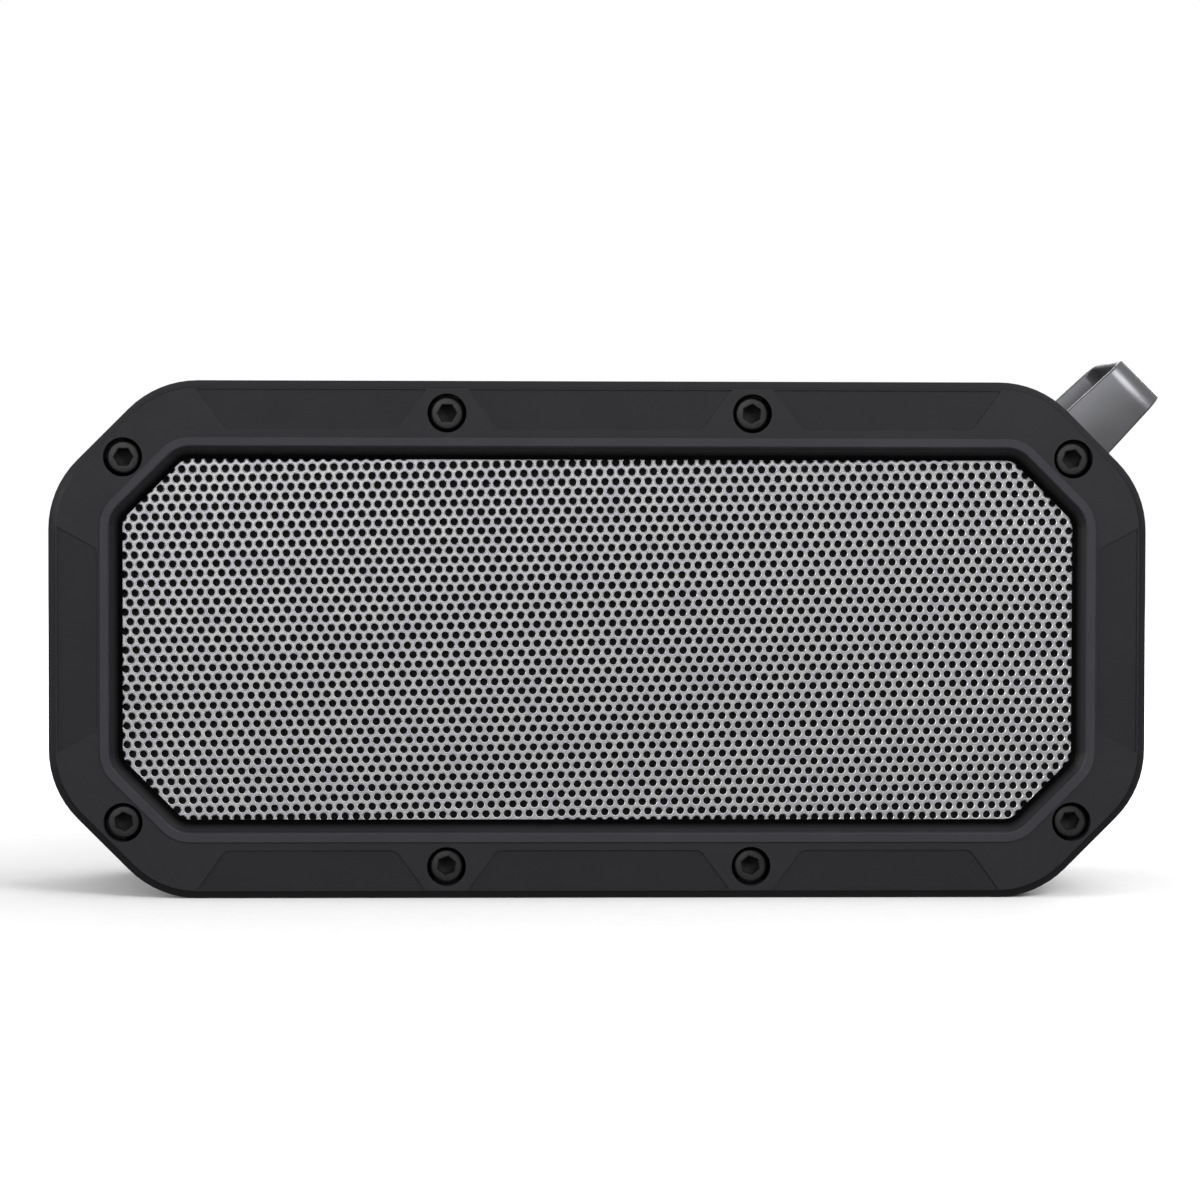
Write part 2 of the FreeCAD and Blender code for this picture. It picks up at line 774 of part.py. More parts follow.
def both_ends():
    """The sign of y and the inward direction at the front and at the rear."""
    return (("-", "-Y", "+Y"), ("", "+Y", "-Y"))


def build_case_screws():
    """Sixteen black socket cap screws with plain shanks, eight in each bezel."""
    screws = []
    for sign, outwards, inwards in both_ends():
        seat = f"{sign}({FRONT} - Dims.screw_seat)"
        head_top = f"{FRONT} - Dims.screw_seat + Dims.screw_head_height"
        socket_floor = f"{sign}({head_top} - Dims.screw_hex_depth)"
        for (x, z), hex_turn in zip(screw_places(), HEX_TURNS):
            head = rod(x, seat, z, "Dims.screw_head_radius", "Dims.screw_head_height", outwards)
            shank = rod(x, seat, z, "Dims.screw_shank_radius", "Dims.screw_length", inwards)
            socket = DOC.addObject("Part::Prism", "Hex")
            socket.Polygon = 6
            socket.setExpression("Circumradius", "Dims.screw_hex_radius")
            socket.Height = 3
            turn_hex = Rotation(Vector(0, 1, 0), -hex_turn).multiply(TURN_TO[outwards])
            place(socket, x, socket_floor, z, turn_hex)
            screws.append(cut(join([head, shank]), [socket]))
    keep(group(screws), "case_screws")


def build_inserts():
    """Brass threaded inserts in the middle shell's bosses."""
    inserts = []
    for sign, _, inwards in both_ends():
        for x, z in screw_places():
            top = f"{sign}({RIM} - 0.1)"
            sleeve = rod(x, top, z, "Dims.insert_radius", "Dims.insert_length", inwards)
            hole = rod(x, top, z, "Dims.insert_bore_radius", "Dims.insert_length", inwards)
            inserts.append(cut(sleeve, [hole]))
    keep(group(inserts), "threaded_inserts")


def small_screw(x, y, z, along, head_radius, head_height, shank_radius, shank_length):
    """A pan head screw: the shank runs along the given axis from (x, y, z), the head stands behind."""
    opposite = {"-Y": "+Y", "+Y": "-Y"}[along]
    head = rod(x, y, z, head_radius, head_height, opposite)
    shank = rod(x, y, z, shank_radius, shank_length, along)
    socket = rod(x, f"{y} {'+' if opposite == '+Y' else '-'} {head_height * 0.5}", z,
                 head_radius * 0.4, head_height, opposite)
    return cut(join([head, shank]), [socket])


# ---------------------------------------------------------------- drivers


# radii, and depths behind the flange's face, of one 45 mm driver
FLANGE_RADIUS = 22.5
FLANGE_DEPTH = 1.5
BASKET_DEPTH = 11.3
MOTOR_RADIUS = 12.5
GAP_RADIUS = 6.9
POLE_RADIUS = 5.0
COIL_RADIUS = 6.3
CONE_TOP = 0.4
CONE_NECK = 6.6
SPIDER_DEPTH = 9.0
PLATE_BACK = BASKET_DEPTH + 1.5
MAGNET_BACK = PLATE_BACK + 4.5
YOKE_BACK = MAGNET_BACK + 1.5


def driver_ring(label, points):
    """A body turned from (radius, depth) points, depths counted from the flange's face."""
    return turned(label, [(radius, f"{depth} - {BAFFLE_BACK}") for radius, depth in points])


def ear_rods(radius, start, length):
    """Four rods at the corners of a driver's flange, from a depth inwards."""
    rods = []
    for ear_x in ("-", ""):
        for ear_z in ("-", ""):
            rods.append(rod(f"{ear_x}Dims.ear_offset", f"{start} - {BAFFLE_BACK}",
                            f"{ear_z}Dims.ear_offset", radius, length, "+Y"))
    return rods


def basket_windows():
    """Four openings through the basket's sloping wall."""
    windows = []
    for step in range(4):
        turn = Rotation(Vector(0, 1, 0), 90 * step)
        lift = turn.multVec(Vector(-5.5, 0, 12))
        window = box("0", "0", "0", "11", "5", "12")
        windows.append(place(window, lift.x, f"2.4 - {BAFFLE_BACK}", lift.z, turn))
    return windows


def build_driver_frame(name, x):
    """Pressed basket: a flange with four screw ears, a sloping wall with openings, and a floor."""
    ring = driver_ring("basket", [
        (19.0, 0), (FLANGE_RADIUS, 0), (FLANGE_RADIUS, FLANGE_DEPTH), (20.2, FLANGE_DEPTH),
        (14.2, 9.5), (14.2, BASKET_DEPTH), (GAP_RADIUS, BASKET_DEPTH), (GAP_RADIUS, BASKET_DEPTH - 1),
        (13.2, BASKET_DEPTH - 1), (13.2, SPIDER_DEPTH), (19.0, FLANGE_DEPTH - 0.1),
    ])
    basket = join([cut(ring, basket_windows())] + ear_rods("3", 0, FLANGE_DEPTH))
    mouth = rod("0", f"-1 - {BAFFLE_BACK}", "0", "19", "2.6", "+Y")
    holes = ear_rods("Dims.ear_hole_radius", -1, 4)
    keep(cut(basket, holes + [mouth]), f"{name}_driver_frame", x=x)


def build_driver_motor(name, x):
    """Front plate, ring magnet and the yoke whose pole stands inside the coil."""
    pole_top = PLATE_BACK - 1.8
    plate = [(GAP_RADIUS, PLATE_BACK - 1.5), (MOTOR_RADIUS, PLATE_BACK - 1.5), (MOTOR_RADIUS, PLATE_BACK),
             (GAP_RADIUS, PLATE_BACK)]
    magnet = [(8.0, PLATE_BACK), (13.5, PLATE_BACK), (13.5, MAGNET_BACK), (8.0, MAGNET_BACK)]
    yoke = [(0, YOKE_BACK), (MOTOR_RADIUS, YOKE_BACK), (MOTOR_RADIUS, MAGNET_BACK),
            (POLE_RADIUS, MAGNET_BACK), (POLE_RADIUS, pole_top), (0, pole_top)]
    for label, points in (("top_plate", plate), ("magnet", magnet), ("yoke", yoke)):
        keep(driver_ring(label, points), f"{name}_{label}", x=x)


def build_driver_diaphragm(name, x):
    """What moves: cone, dust cap and voice coil, hung in the spider and the surround."""
    coil_inner = COIL_RADIUS - 0.7
    coil = [(coil_inner, CONE_NECK), (COIL_RADIUS, CONE_NECK), (COIL_RADIUS, PLATE_BACK + 0.6),
            (coil_inner, PLATE_BACK + 0.6)]
    spider_back = SPIDER_DEPTH + 0.4
    spider = [(6.7, SPIDER_DEPTH), (12.8, SPIDER_DEPTH), (12.8, spider_back), (6.7, spider_back)]
    cone = [(COIL_RADIUS, CONE_NECK), (COIL_RADIUS, CONE_NECK + 0.5), (14.9, CONE_TOP + 0.5),
            (15.6, CONE_TOP + 0.5), (15.6, CONE_TOP), (14.7, CONE_TOP)]
    surround = [(14.8, 0.3), (16.0, 0.3), (16.5, -0.9), (17.3, -1.2), (18.1, -0.9), (18.6, 0.3),
                (19.0, 0.3), (19.0, -0.2), (18.9, -0.2), (18.4, -1.4), (17.3, -1.8), (16.2, -1.4),
                (15.7, -0.2), (14.8, -0.2)]
    dust_cap = [(0, 3.0), (2.5, 3.25), (4.8, 4.2), (COIL_RADIUS, 5.9), (COIL_RADIUS, CONE_NECK),
                (5.7, CONE_NECK), (4.5, 4.8), (2.4, 3.75), (0, 3.5)]
    for label, points in (("voice_coil", coil), ("spider", spider), ("cone", cone), ("surround", surround),
                          ("dust_cap", dust_cap)):
        keep(driver_ring(label, points), f"{name}_{label}", x=x)


def build_driver(name, side):
    """One 45 mm driver behind the front baffle, seen from the front at the left or the right."""
    x = f"{side} * Dims.driver_x"
    build_driver_frame(name, x)
    build_driver_motor(name, x)
    build_driver_diaphragm(name, x)


def build_driver_screws():
    """Four screws through each driver's ears into the front baffle."""
    screws = []
    for side in (-1, 1):
        for ear_x in (-1, 1):
            for ear_z in (-1, 1):
                x = f"{side} * Dims.driver_x + {ear_x} * Dims.ear_offset"
                y = f"{FLANGE_DEPTH} - {BAFFLE_BACK}"
                z = f"{ear_z} * Dims.ear_offset"
                screws.append(small_screw(x, y, z, "-Y", 1.7, 1.2, 0.85, 3.4))
    keep(group(screws), "driver_screws")


# ---------------------------------------------------------------- passive radiator


def racetrack(width, height):
    return rectangle("0", "0", width, height)


def racetrack_plate(label, width, height, near, thickness, hole=None):
    """A plate with fully rounded ends, and a matching hole if one is given."""
    body = new_body(label)
    sketch = new_sketch(body, offset=near)
    add_polygon(sketch, racetrack(width, height))
    pad(body, sketch, thickness)
    round_corners(body, racetrack(width, height), f"({height}) / 2 - 0.1")
    if hole:
        inner = new_sketch(body, offset=f"{near} + {thickness}")
        add_polygon(inner, racetrack(*hole))
        pocket(body, inner, thickness)
        round_corners(body, racetrack(*hole), f"({hole[1]}) / 2 - 0.1")
    return body


def build_passive_radiator():
    """A weighted racetrack plate on a rubber surround behind the rear baffle."""
    width, height = "Dims.radiator_width", "Dims.radiator_height"
    inner = [f"{size} - 2 * Dims.radiator_surround" for size in (width, height)]
    rubber_back = f"({BAFFLE_BACK} - Dims.radiator_rubber)"
    plate_back = f"({rubber_back} - 0.1 - Dims.radiator_plate)"
    weight_back = f"({plate_back} - Dims.radiator_plate)"
    outer = [f"{size} + 2 * Dims.radiator_lap" for size in (width, height)]
    surround = racetrack_plate("surround", *outer, rubber_back, "Dims.radiator_rubber", inner)
    plate = racetrack_plate("plate", f"{inner[0]} + 4", f"{inner[1]} + 4", plate_back, "Dims.radiator_plate")
    weight = racetrack_plate("weight", "30", "10", weight_back, "Dims.radiator_plate")
    for label, piece in (("surround", surround), ("plate", plate), ("weight", weight)):
        keep(piece, f"passive_radiator_{label}", turn=HALF_TURN)


# ---------------------------------------------------------------- controls

BUTTON_BOARD_POSTS = (-44.0, 0.0, 44.0)
BUTTON_FLANGE_TOP = "(Dims.body_height / 2 - Dims.shell_inset - Dims.shell_wall - 0.3)"
MARK_HEIGHT = "0.2"
MARK_LENGTH = "3.6"
MARK_WIDTH = "0.8"


def button_mark(name, x, top):
    """Raised plain symbol on a key: minus, plus, triangle, or a broken ring with a bar."""
    bar = box(x, "0", f"{top} + 0.05", MARK_LENGTH, MARK_WIDTH, MARK_HEIGHT)
    if name == "volume_down":
        return [bar]
    if name == "volume_up":
        return [bar, box(x, "0", f"{top} + 0.05", MARK_WIDTH, MARK_LENGTH, MARK_HEIGHT)]
    DOC.removeObject(bar.Name)
    if name == "play":
        arrow = DOC.addObject("Part::Prism", "Arrow")
        arrow.Polygon = 3
        arrow.Circumradius = 2.0
        arrow.setExpression("Height", MARK_HEIGHT)
        return [place(arrow, x, "0", f"{top} - 0.05")]
    disc = rod(x, "0", f"{top} - 0.05", "1.9", MARK_HEIGHT)
    bore = rod(x, "0", f"{top} - 1", "1.2", "3")
    gap = box(x, "1.6", top, "1.4", "2", "2")
    stroke = box(x, "1.3", f"{top} + 0.05", "0.7", "2.2", MARK_HEIGHT)
    return [cut(disc, [bore, gap]), stroke]


def build_button(name, x):
    """One key: a rounded cap with a raised mark, a flange below the wall and a stem."""
    cap_top = f"({WALL_TOP} + Dims.button_proud - 0.15)"
    low = f"({BUTTON_FLANGE_TOP} - Dims.button_flange)"
    cap = box(x, "0", f"({low} + {cap_top}) / 2", "Dims.button_length", "Dims.button_width",
              f"{cap_top} - {low}")
    rounded = soften(cap, size_of("Dims.button_width / 2 - 0.1"), runs_along("Z"))
    top_z = size_of(cap_top)
    crowned = soften(rounded, 0.6, lambda edge: abs(edge.BoundBox.ZMin - top_z) < 1e-5)
    flange = box(x, "0", f"{BUTTON_FLANGE_TOP} - Dims.button_flange / 2", "Dims.button_length + 2.4",
                 "Dims.button_width + 2.4", "Dims.button_flange")
    stem = rod(x, "0", "Dims.plunger_top", "1.5", f"{low} - Dims.plunger_top + 0.2")
    keep(join([crowned, flange, stem] + button_mark(name, x, cap_top)), f"{name}_button")


def build_buttons():
    """Four keys in the shell's top windows, each over its own switch plunger."""
    for index, name in enumerate(BUTTON_NAMES):
        x = button_x(index)
        build_button(name, x)
        plunger = rod(x, "0", "Dims.switch_top - 0.6", "1.1", "Dims.plunger_top - Dims.switch_top + 0.6")
        keep(group([plunger]), f"{name}_switch_plunger")


def build_button_board():
    """Narrow board under the keys, with four tactile switches."""
    board = box("0", "0", "Dims.button_board_top - 0.5", "96", "11", "1.0")
    screw_holes = [rod(str(x), "0", "20", "1.1", "10") for x in BUTTON_BOARD_POSTS]
    keep(cut(board, screw_holes), "button_board")
    switches = []
    for index in range(len(BUTTON_NAMES)):
        case = box(button_x(index), "0", "(Dims.button_board_top + Dims.switch_top) / 2", "6", "6",
                   "Dims.switch_top - Dims.button_board_top")
        well = rod(button_x(index), "0", "Dims.switch_top - 1.4", "1.3", "3")
        switches.append(cut(case, [well]))
    keep(group(switches), "button_switches")


def build_button_seal():
    """Silicone sheet under the shell's top wall that keeps water off the switches."""
    sheet = box("0", "0", "29.8", "92", "13", "0.5")
    tools = [rod(button_x(index), "0", "25", "1.8", "10") for index in range(len(BUTTON_NAMES))]
    tools += [rod(str(x), "0", "25", "2.7", "10") for x in BUTTON_BOARD_POSTS]
    keep(cut(sheet, tools), "button_seal")


# ---------------------------------------------------------------- ports



def build_circuit_board():
    """Main board on the rear baffle's posts, with its larger components on its front face."""
    centre_y = "Dims.board_face + Dims.board_thickness / 2"
    board = box("Dims.board_x", centre_y, "0", "Dims.board_side", "Dims.board_thickness", "Dims.board_side")
    holes = [rod(str(x), "0", str(z), "1.1", "20", "+Y") for x, z in BOARD_POSTS]
    keep(cut(board, holes), "main_board")
    # each block's x, z, length, height off the board and width
    blocks = {
        "radio_shield": (-57, 14, 12, 1.6, 9),
        "amplifier": (-38, 14, 7, 1.0, 7),
        "codec": (-40, -14, 5, 1.0, 5),
        "inductor": (-34, 0, 5, 2.4, 5),
    }
    components = []
    for x, z, length, height, width in blocks.values():
        components.append(box(x, f"Dims.board_face - {height / 2}", z, length, height, width))
    components.append(rod("-58.5", "Dims.board_face", "-15.5", "2.5", "7", "-Y"))
    keep(group(components), "board_components")


def build_board_screws():
    """Four screws hold the main board to its posts, and three the button board."""
    screws = []
    for x, z in BOARD_POSTS:
        screws.append(small_screw(x, "Dims.board_face", z, "+Y", 1.8, 1.2, 0.75, 4.4))
    board_low = "Dims.button_board_top - 1.0"
    for x in BUTTON_BOARD_POSTS:
        head = rod(x, "0", f"{board_low} - 1.1", "1.8", "1.1")
        shank = rod(x, "0", f"{board_low} - 0.1", "0.75", "3.4")
        screws.append(join([head, shank]))
    keep(group(screws), "board_screws")


def build_sockets():
    """Charging socket, audio jack and status light at the main board's left edge."""
    leg_length = f"Dims.board_face - {PORT_Y} - 1.3"
    shell = box("-70.0", PORT_Y, "Dims.usb_height", "5.6", "2.8", "7.6")
    mouth = box("-71.0", PORT_Y, "Dims.usb_height", "5.6", "1.9", "6.8")
    legs = box("-68.5", f"(Dims.board_face + {PORT_Y} + 1.3) / 2", "Dims.usb_height", "2.4", leg_length, "5")
    tongue = box("-70.0", PORT_Y, "Dims.usb_height", "4.2", "0.5", "5.2")
    keep(join([cut(shell, [mouth]), legs, tongue]), "usb_socket")
    block = box("-66.2", f"{PORT_Y} - 0.2", "Dims.jack_height", "11.4", "5.6", "6.4")
    nose = rod("-73.3", PORT_Y, "Dims.jack_height", "2.9", "2", "+X")
    bore = rod("-74", PORT_Y, "Dims.jack_height", "Dims.jack_bore_radius", "12", "+X")
    keep(cut(join([block, nose]), [bore]), "audio_jack")
    lamp = rod(f"0.1 - {SHELL_SIDE}", PORT_Y, "Dims.lamp_height", "0.75", "5", "+X")
    keep(group([lamp]), "status_light")


def build_port_cover():
    """Rubber flap with a captive bead along its lower edge, a pull tab and two shallow plugs."""
    flap_top = "Dims.port_cover_height / 2"
    flap = box(f"0.55 - {SHELL_SIDE}", PORT_Y, f"({flap_top} + Dims.hinge_height) / 2", "1.0",
               "Dims.port_cover_width", f"{flap_top} - Dims.hinge_height")

    def upper_corner(edge):
        return runs_along("X")(edge) and edge.Vertexes[0].Z > 0

    flap = soften(flap, 1.2, upper_corner)
    bead = rod(HINGE_X, f"{PORT_Y} - Dims.port_cover_width / 2", "Dims.hinge_height", "0.75",
               "Dims.port_cover_width", "+Y")
    pin_hole = rod(HINGE_X, f"{PORT_Y} - 8", "Dims.hinge_height", "0.36", "16", "+Y")
    tab = box(f"-{SHELL_SIDE} - 0.2", PORT_Y, f"{flap_top} - 1.6", "0.8", "6", "1.6")
    usb_plug = box(f"1.15 - {SHELL_SIDE}", PORT_Y, "Dims.usb_height", "0.5", "2.6", "7.6")
    jack_plug = rod(f"0.9 - {SHELL_SIDE}", PORT_Y, "Dims.jack_height", "1.5", "0.45", "+X")
    keep(cut(join([flap, bead, tab, usb_plug, jack_plug]), [pin_hole]), "port_cover")
    pin = rod(HINGE_X, f"{PORT_Y} - 7.4", "Dims.hinge_height", "0.3", "14.8", "+Y")
    keep(group([pin]), "port_cover_pin")


# ---------------------------------------------------------------- battery


def build_battery():
    """Battery pack in a tray between the drivers, on the front baffle's back, under a strap."""
    depth = "Dims.battery_depth"
    middle = "Dims.battery_drop"
    tray_width = "Dims.battery_width + 3"
    tray = box("0", f"{depth} / 2 + 0.5 - {BAFFLE_BACK}", middle, tray_width, f"{depth} + 1",
               "Dims.battery_height + 3")
    room = box("0", f"{depth} / 2 + 6.5 - {BAFFLE_BACK}", middle, "Dims.battery_width + 0.6",
               f"{depth} + 10", "Dims.battery_height + 0.6")
    keep(cut(tray, [room]), "battery_tray")
    pack = box("0", f"{depth} / 2 + 1.7 - {BAFFLE_BACK}", middle, "Dims.battery_width", depth,
               "Dims.battery_height")
    keep(soften(pack, 3.0, runs_along("Z")), "battery_pack")
    strap = box("0", f"{depth} + 2.3 - {BAFFLE_BACK}", middle, tray_width, "0.8", "8")
    keep(group([strap]), "battery_strap")


# ---------------------------------------------------------------- assembly


def build_all():
    for end, turn in (("front", None), ("rear", HALF_TURN)):
        build_bezel(f"{end}_bezel", turn)
        build_grille(f"{end}_grille", turn)
        build_cloth(f"{end}_grille_cloth", turn)
        build_seal(f"{end}_seal", turn)
    build_case_screws()
    build_inserts()
    build_front_baffle()
    build_rear_baffle()
    build_middle_shell()
    build_strap_loop()
    build_loop_screws()
    build_rubber_foot()
    build_driver("left", -1)
    build_driver("right", 1)
    build_driver_screws()
    build_passive_radiator()
    build_buttons()
    build_button_board()
    build_button_seal()
    build_circuit_board()
    build_board_screws()
    build_sockets()
    build_port_cover()
    build_battery()


def check_document():
    for obj in DOC.Objects:
        if "Invalid" in obj.State or "Error" in obj.State:
            raise ValueError(f"{obj.Label} did not build: {obj.State}")
    for part in SUB_PARTS:
        shape = part.Shape
        if shape.isNull() or not shape.isValid() or not shape.Solids:
            raise ValueError(f"{part.Label} has no valid solid")


def export_all():
    os.makedirs("parts", exist_ok=True)
    for part in SUB_PARTS:
        part.Shape.exportStep(f"parts/{part.Label}.step")
        print(f"{part.Label}: {len(part.Shape.Solids)} solid(s), {part.Shape.Volume:.1f} mm3")


build_all()
DOC.recompute()
check_document()
export_all()
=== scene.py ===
"""Looks of the rugged shower speaker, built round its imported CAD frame. Lengths are in metres.

-Y is the front. Pieces that repeat at the back are made for the front and turned half way about Z.
"""

import json
import math

import bmesh
import bpy
from mathutils import Matrix, Vector
from mathutils.geometry import delaunay_2d_cdt


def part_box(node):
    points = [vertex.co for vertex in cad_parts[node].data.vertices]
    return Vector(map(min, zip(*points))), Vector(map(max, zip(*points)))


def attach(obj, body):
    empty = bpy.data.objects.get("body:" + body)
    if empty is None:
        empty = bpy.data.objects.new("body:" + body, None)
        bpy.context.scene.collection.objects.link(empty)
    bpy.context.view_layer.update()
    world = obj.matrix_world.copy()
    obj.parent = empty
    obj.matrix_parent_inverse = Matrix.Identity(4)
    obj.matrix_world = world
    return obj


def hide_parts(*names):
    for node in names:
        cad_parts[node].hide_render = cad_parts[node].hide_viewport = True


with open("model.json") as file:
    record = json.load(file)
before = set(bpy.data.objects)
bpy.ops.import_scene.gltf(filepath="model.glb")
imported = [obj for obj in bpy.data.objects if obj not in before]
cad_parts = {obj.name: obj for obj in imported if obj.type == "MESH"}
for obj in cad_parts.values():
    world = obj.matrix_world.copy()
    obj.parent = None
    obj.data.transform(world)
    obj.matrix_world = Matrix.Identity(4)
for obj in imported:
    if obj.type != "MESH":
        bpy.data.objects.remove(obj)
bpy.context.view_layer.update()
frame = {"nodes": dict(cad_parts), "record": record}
NODES = frame["nodes"]
MM = 0.001

BEZEL_LOW, BEZEL_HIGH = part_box("front_bezel")
HALF_WIDTH = (BEZEL_HIGH[0] - BEZEL_LOW[0]) / 2
HALF_HEIGHT = (BEZEL_HIGH[2] - BEZEL_LOW[2]) / 2
CENTRE_Z = (BEZEL_HIGH[2] + BEZEL_LOW[2]) / 2
FRONT_Y = BEZEL_LOW[1]
CORNER_LEG = 15 * MM


# ---------------------------------------------------------------- shader helpers


def new_material(name):
    material = bpy.data.materials.new(name)
    material.use_nodes = True
    tree = material.node_tree
    return material, tree, tree.nodes["Principled BSDF"]


def scaled(colour, factor):
    return tuple(min(1.0, channel * factor) for channel in colour)


def noise(tree, scale, detail=2.0, roughness=0.5, stretch=(1, 1, 1)):
    """Solid noise in the object's own metres."""
    coords = tree.nodes.new("ShaderNodeTexCoord")
    mapping = tree.nodes.new("ShaderNodeMapping")
    mapping.inputs["Scale"].default_value = stretch
    texture = tree.nodes.new("ShaderNodeTexNoise")
    texture.inputs["Scale"].default_value = scale
    texture.inputs["Detail"].default_value = detail
    texture.inputs["Roughness"].default_value = roughness
    tree.links.new(coords.outputs["Object"], mapping.inputs["Vector"])
    tree.links.new(mapping.outputs["Vector"], texture.inputs["Vector"])
    return texture.outputs["Fac"]


def object_axes(tree):
    """The object's own X, Y and Z in metres, as three sockets."""
    coords = tree.nodes.new("ShaderNodeTexCoord")
    split = tree.nodes.new("ShaderNodeSeparateXYZ")
    tree.links.new(coords.outputs["Object"], split.inputs["Vector"])
    return split.outputs["X"], split.outputs["Y"], split.outputs["Z"]


def remap(tree, value, low, high, from_low=0.3, from_high=0.7):
    """Runs from low to high as value runs from from_low to from_high, and stops at both."""
    node = tree.nodes.new("ShaderNodeMapRange")
    node.inputs["From Min"].default_value = from_low
    node.inputs["From Max"].default_value = from_high
    node.inputs["To Min"].default_value = low
    node.inputs["To Max"].default_value = high
    tree.links.new(value, node.inputs["Value"])
    return node.outputs["Result"]


def calculate(tree, operation, first, second=None):
    """One maths step; second may be a socket or a plain number."""
    node = tree.nodes.new("ShaderNodeMath")
    node.operation = operation
    tree.links.new(first, node.inputs[0])
    if isinstance(second, float):
        node.inputs[1].default_value = second
    elif second is not None:
        tree.links.new(second, node.inputs[1])
    return node.outputs["Value"]


def largest(tree, *values):
    result = values[0]
    for value in values[1:]:
        result = calculate(tree, "MAXIMUM", result, value)
    return result


def product(tree, *values):
    result = values[0]
    for value in values[1:]:
        result = calculate(tree, "MULTIPLY", result, value)
    return result


def blend_colours(tree, factor, dark, light, start=0.3, stop=0.7):
    ramp = tree.nodes.new("ShaderNodeValToRGB")
    first, last = ramp.color_ramp.elements
    first.color, last.color = (*dark, 1), (*light, 1)
    first.position, last.position = start, stop
    tree.links.new(factor, ramp.inputs["Fac"])
    return ramp.outputs["Color"]


def tint(tree, colour, factor):
    """Multiplies a colour by a grey factor."""
    mix = tree.nodes.new("ShaderNodeMix")
    mix.data_type = "RGBA"
    mix.blend_type = "MULTIPLY"
    mix.inputs["Factor"].default_value = 1.0
    tree.links.new(colour, mix.inputs["A"])
    tree.links.new(factor, mix.inputs["B"])
    return mix.outputs["Result"]


def bump(tree, shader, height, strength, distance, before=None):
    node = tree.nodes.new("ShaderNodeBump")
    node.inputs["Strength"].default_value = strength
    node.inputs["Distance"].default_value = distance
    tree.links.new(height, node.inputs["Height"])
    if before is not None:
        tree.links.new(before, node.inputs["Normal"])
    tree.links.new(node.outputs["Normal"], shader.inputs["Normal"])
    return node.outputs["Normal"]


# ---------------------------------------------------------------- materials


def grained(name, colour, roughness, grain=6500, depth=0.00002, strength=0.2, metallic=0.0,
            variation=0.1, specular=0.5):
    """A moulded, cast or painted surface: mottled colour, uneven gloss and a fine grain."""
    material, tree, shader = new_material(name)
    mottle = noise(tree, 90, 4, 0.6)
    colours = blend_colours(tree, mottle, scaled(colour, 1 - variation), scaled(colour, 1 + variation))
    tree.links.new(colours, shader.inputs["Base Color"])
    patches = noise(tree, 260, 5, 0.6)
    tree.links.new(remap(tree, patches, roughness - 0.04, roughness + 0.04), shader.inputs["Roughness"])
    shader.inputs["Metallic"].default_value = metallic
    shader.inputs["Specular IOR Level"].default_value = specular
    broad = bump(tree, shader, noise(tree, grain / 6, 3), strength * 0.4, depth * 2)
    bump(tree, shader, noise(tree, grain, 2), strength, depth, broad)
    return material


# Painted light on the frame, toned by how far a point lies behind the lip's face, the same front and back: a
# painted highlight on the lip, painted shade down the opening's wall and on the panels.
OUTER_BAND = 2.5 * MM
LIP_HIGHLIGHT = 2.2
LIP_START, LIP_FULL = 0.2 * MM, 0.08 * MM
WALL_SHADE = 0.02
WALL_START, WALL_FULL = 0.5 * MM, 1.4 * MM
PANEL_LEVEL = 0.47 * MM
# Painted shade on the panel floors, and a painted shadow in their creases.
PANEL_TONE = 0.75
CREASE_SHADOW = 0.1
FRAME_GLOSS = 0.22


def past_outline(tree, axes, band):
    """How far a point lies outside the frame's octagon drawn in by band."""
    across = calculate(tree, "ABSOLUTE", axes[0])
    height = calculate(tree, "ABSOLUTE", calculate(tree, "SUBTRACT", axes[2], CENTRE_Z))
    past_side = calculate(tree, "SUBTRACT", across, HALF_WIDTH - band)
    past_top = calculate(tree, "SUBTRACT", height, HALF_HEIGHT - band)
    corner_line = HALF_WIDTH + HALF_HEIGHT - CORNER_LEG - band * math.sqrt(2)
    past_corner = calculate(tree, "SUBTRACT", calculate(tree, "ADD", across, height), corner_line)
    return largest(tree, past_side, past_top, past_corner)


def panel_shade(tree, depth, face):
    """Painted shade: darker panel floors, with a painted shadow in the crease where each floor meets its
    step.
    """
    level = face - PANEL_LEVEL
    floor = remap(tree, depth, PANEL_TONE, 0.0, level + 0.005 * MM, level + 0.02 * MM)
    crease_shadow = remap(tree, depth, CREASE_SHADOW, 1.0, level + 0.04 * MM, level + 0.22 * MM)
    return largest(tree, floor, crease_shadow)


def soft_touch_frame(name, colour):
    """Soft-touch paint with painted light: a painted highlight on the proud lip, and painted shade, dark and
    dull, down the opening's wall.
    """
    material = grained(name, colour, 0.48, specular=FRAME_GLOSS)
    tree = material.node_tree
    shader = tree.nodes["Principled BSDF"]
    plain = shader.inputs["Base Color"].links[0].from_socket
    axes = object_axes(tree)
    depth = calculate(tree, "ABSOLUTE", axes[1])
    face = -FRONT_Y
    # Painted highlight: the proud lip is made lighter.
    lip_highlight = remap(tree, depth, 1.0, LIP_HIGHLIGHT, face - LIP_START, face - LIP_FULL)
    # Painted shade: darker down the opening's wall; the outer band near the frame's edge is left out.
    inner_wall_shade = remap(tree, depth, WALL_SHADE, 1.0, face - WALL_FULL, face - WALL_START)
    outer = remap(tree, past_outline(tree, axes, OUTER_BAND), 0.0, 1.0, 0.0, 0.1 * MM)
    wall = largest(tree, inner_wall_shade, outer)
    shade = product(tree, lip_highlight, wall, panel_shade(tree, depth, face))
    tree.links.new(tint(tree, plain, shade), shader.inputs["Base Color"])
    # Painted shade on the reflections as well: they are weaker down the opening's wall.
    tree.links.new(remap(tree, wall, 0.02, FRAME_GLOSS, 0.0, 1.0), shader.inputs["Specular IOR Level"])
    return material


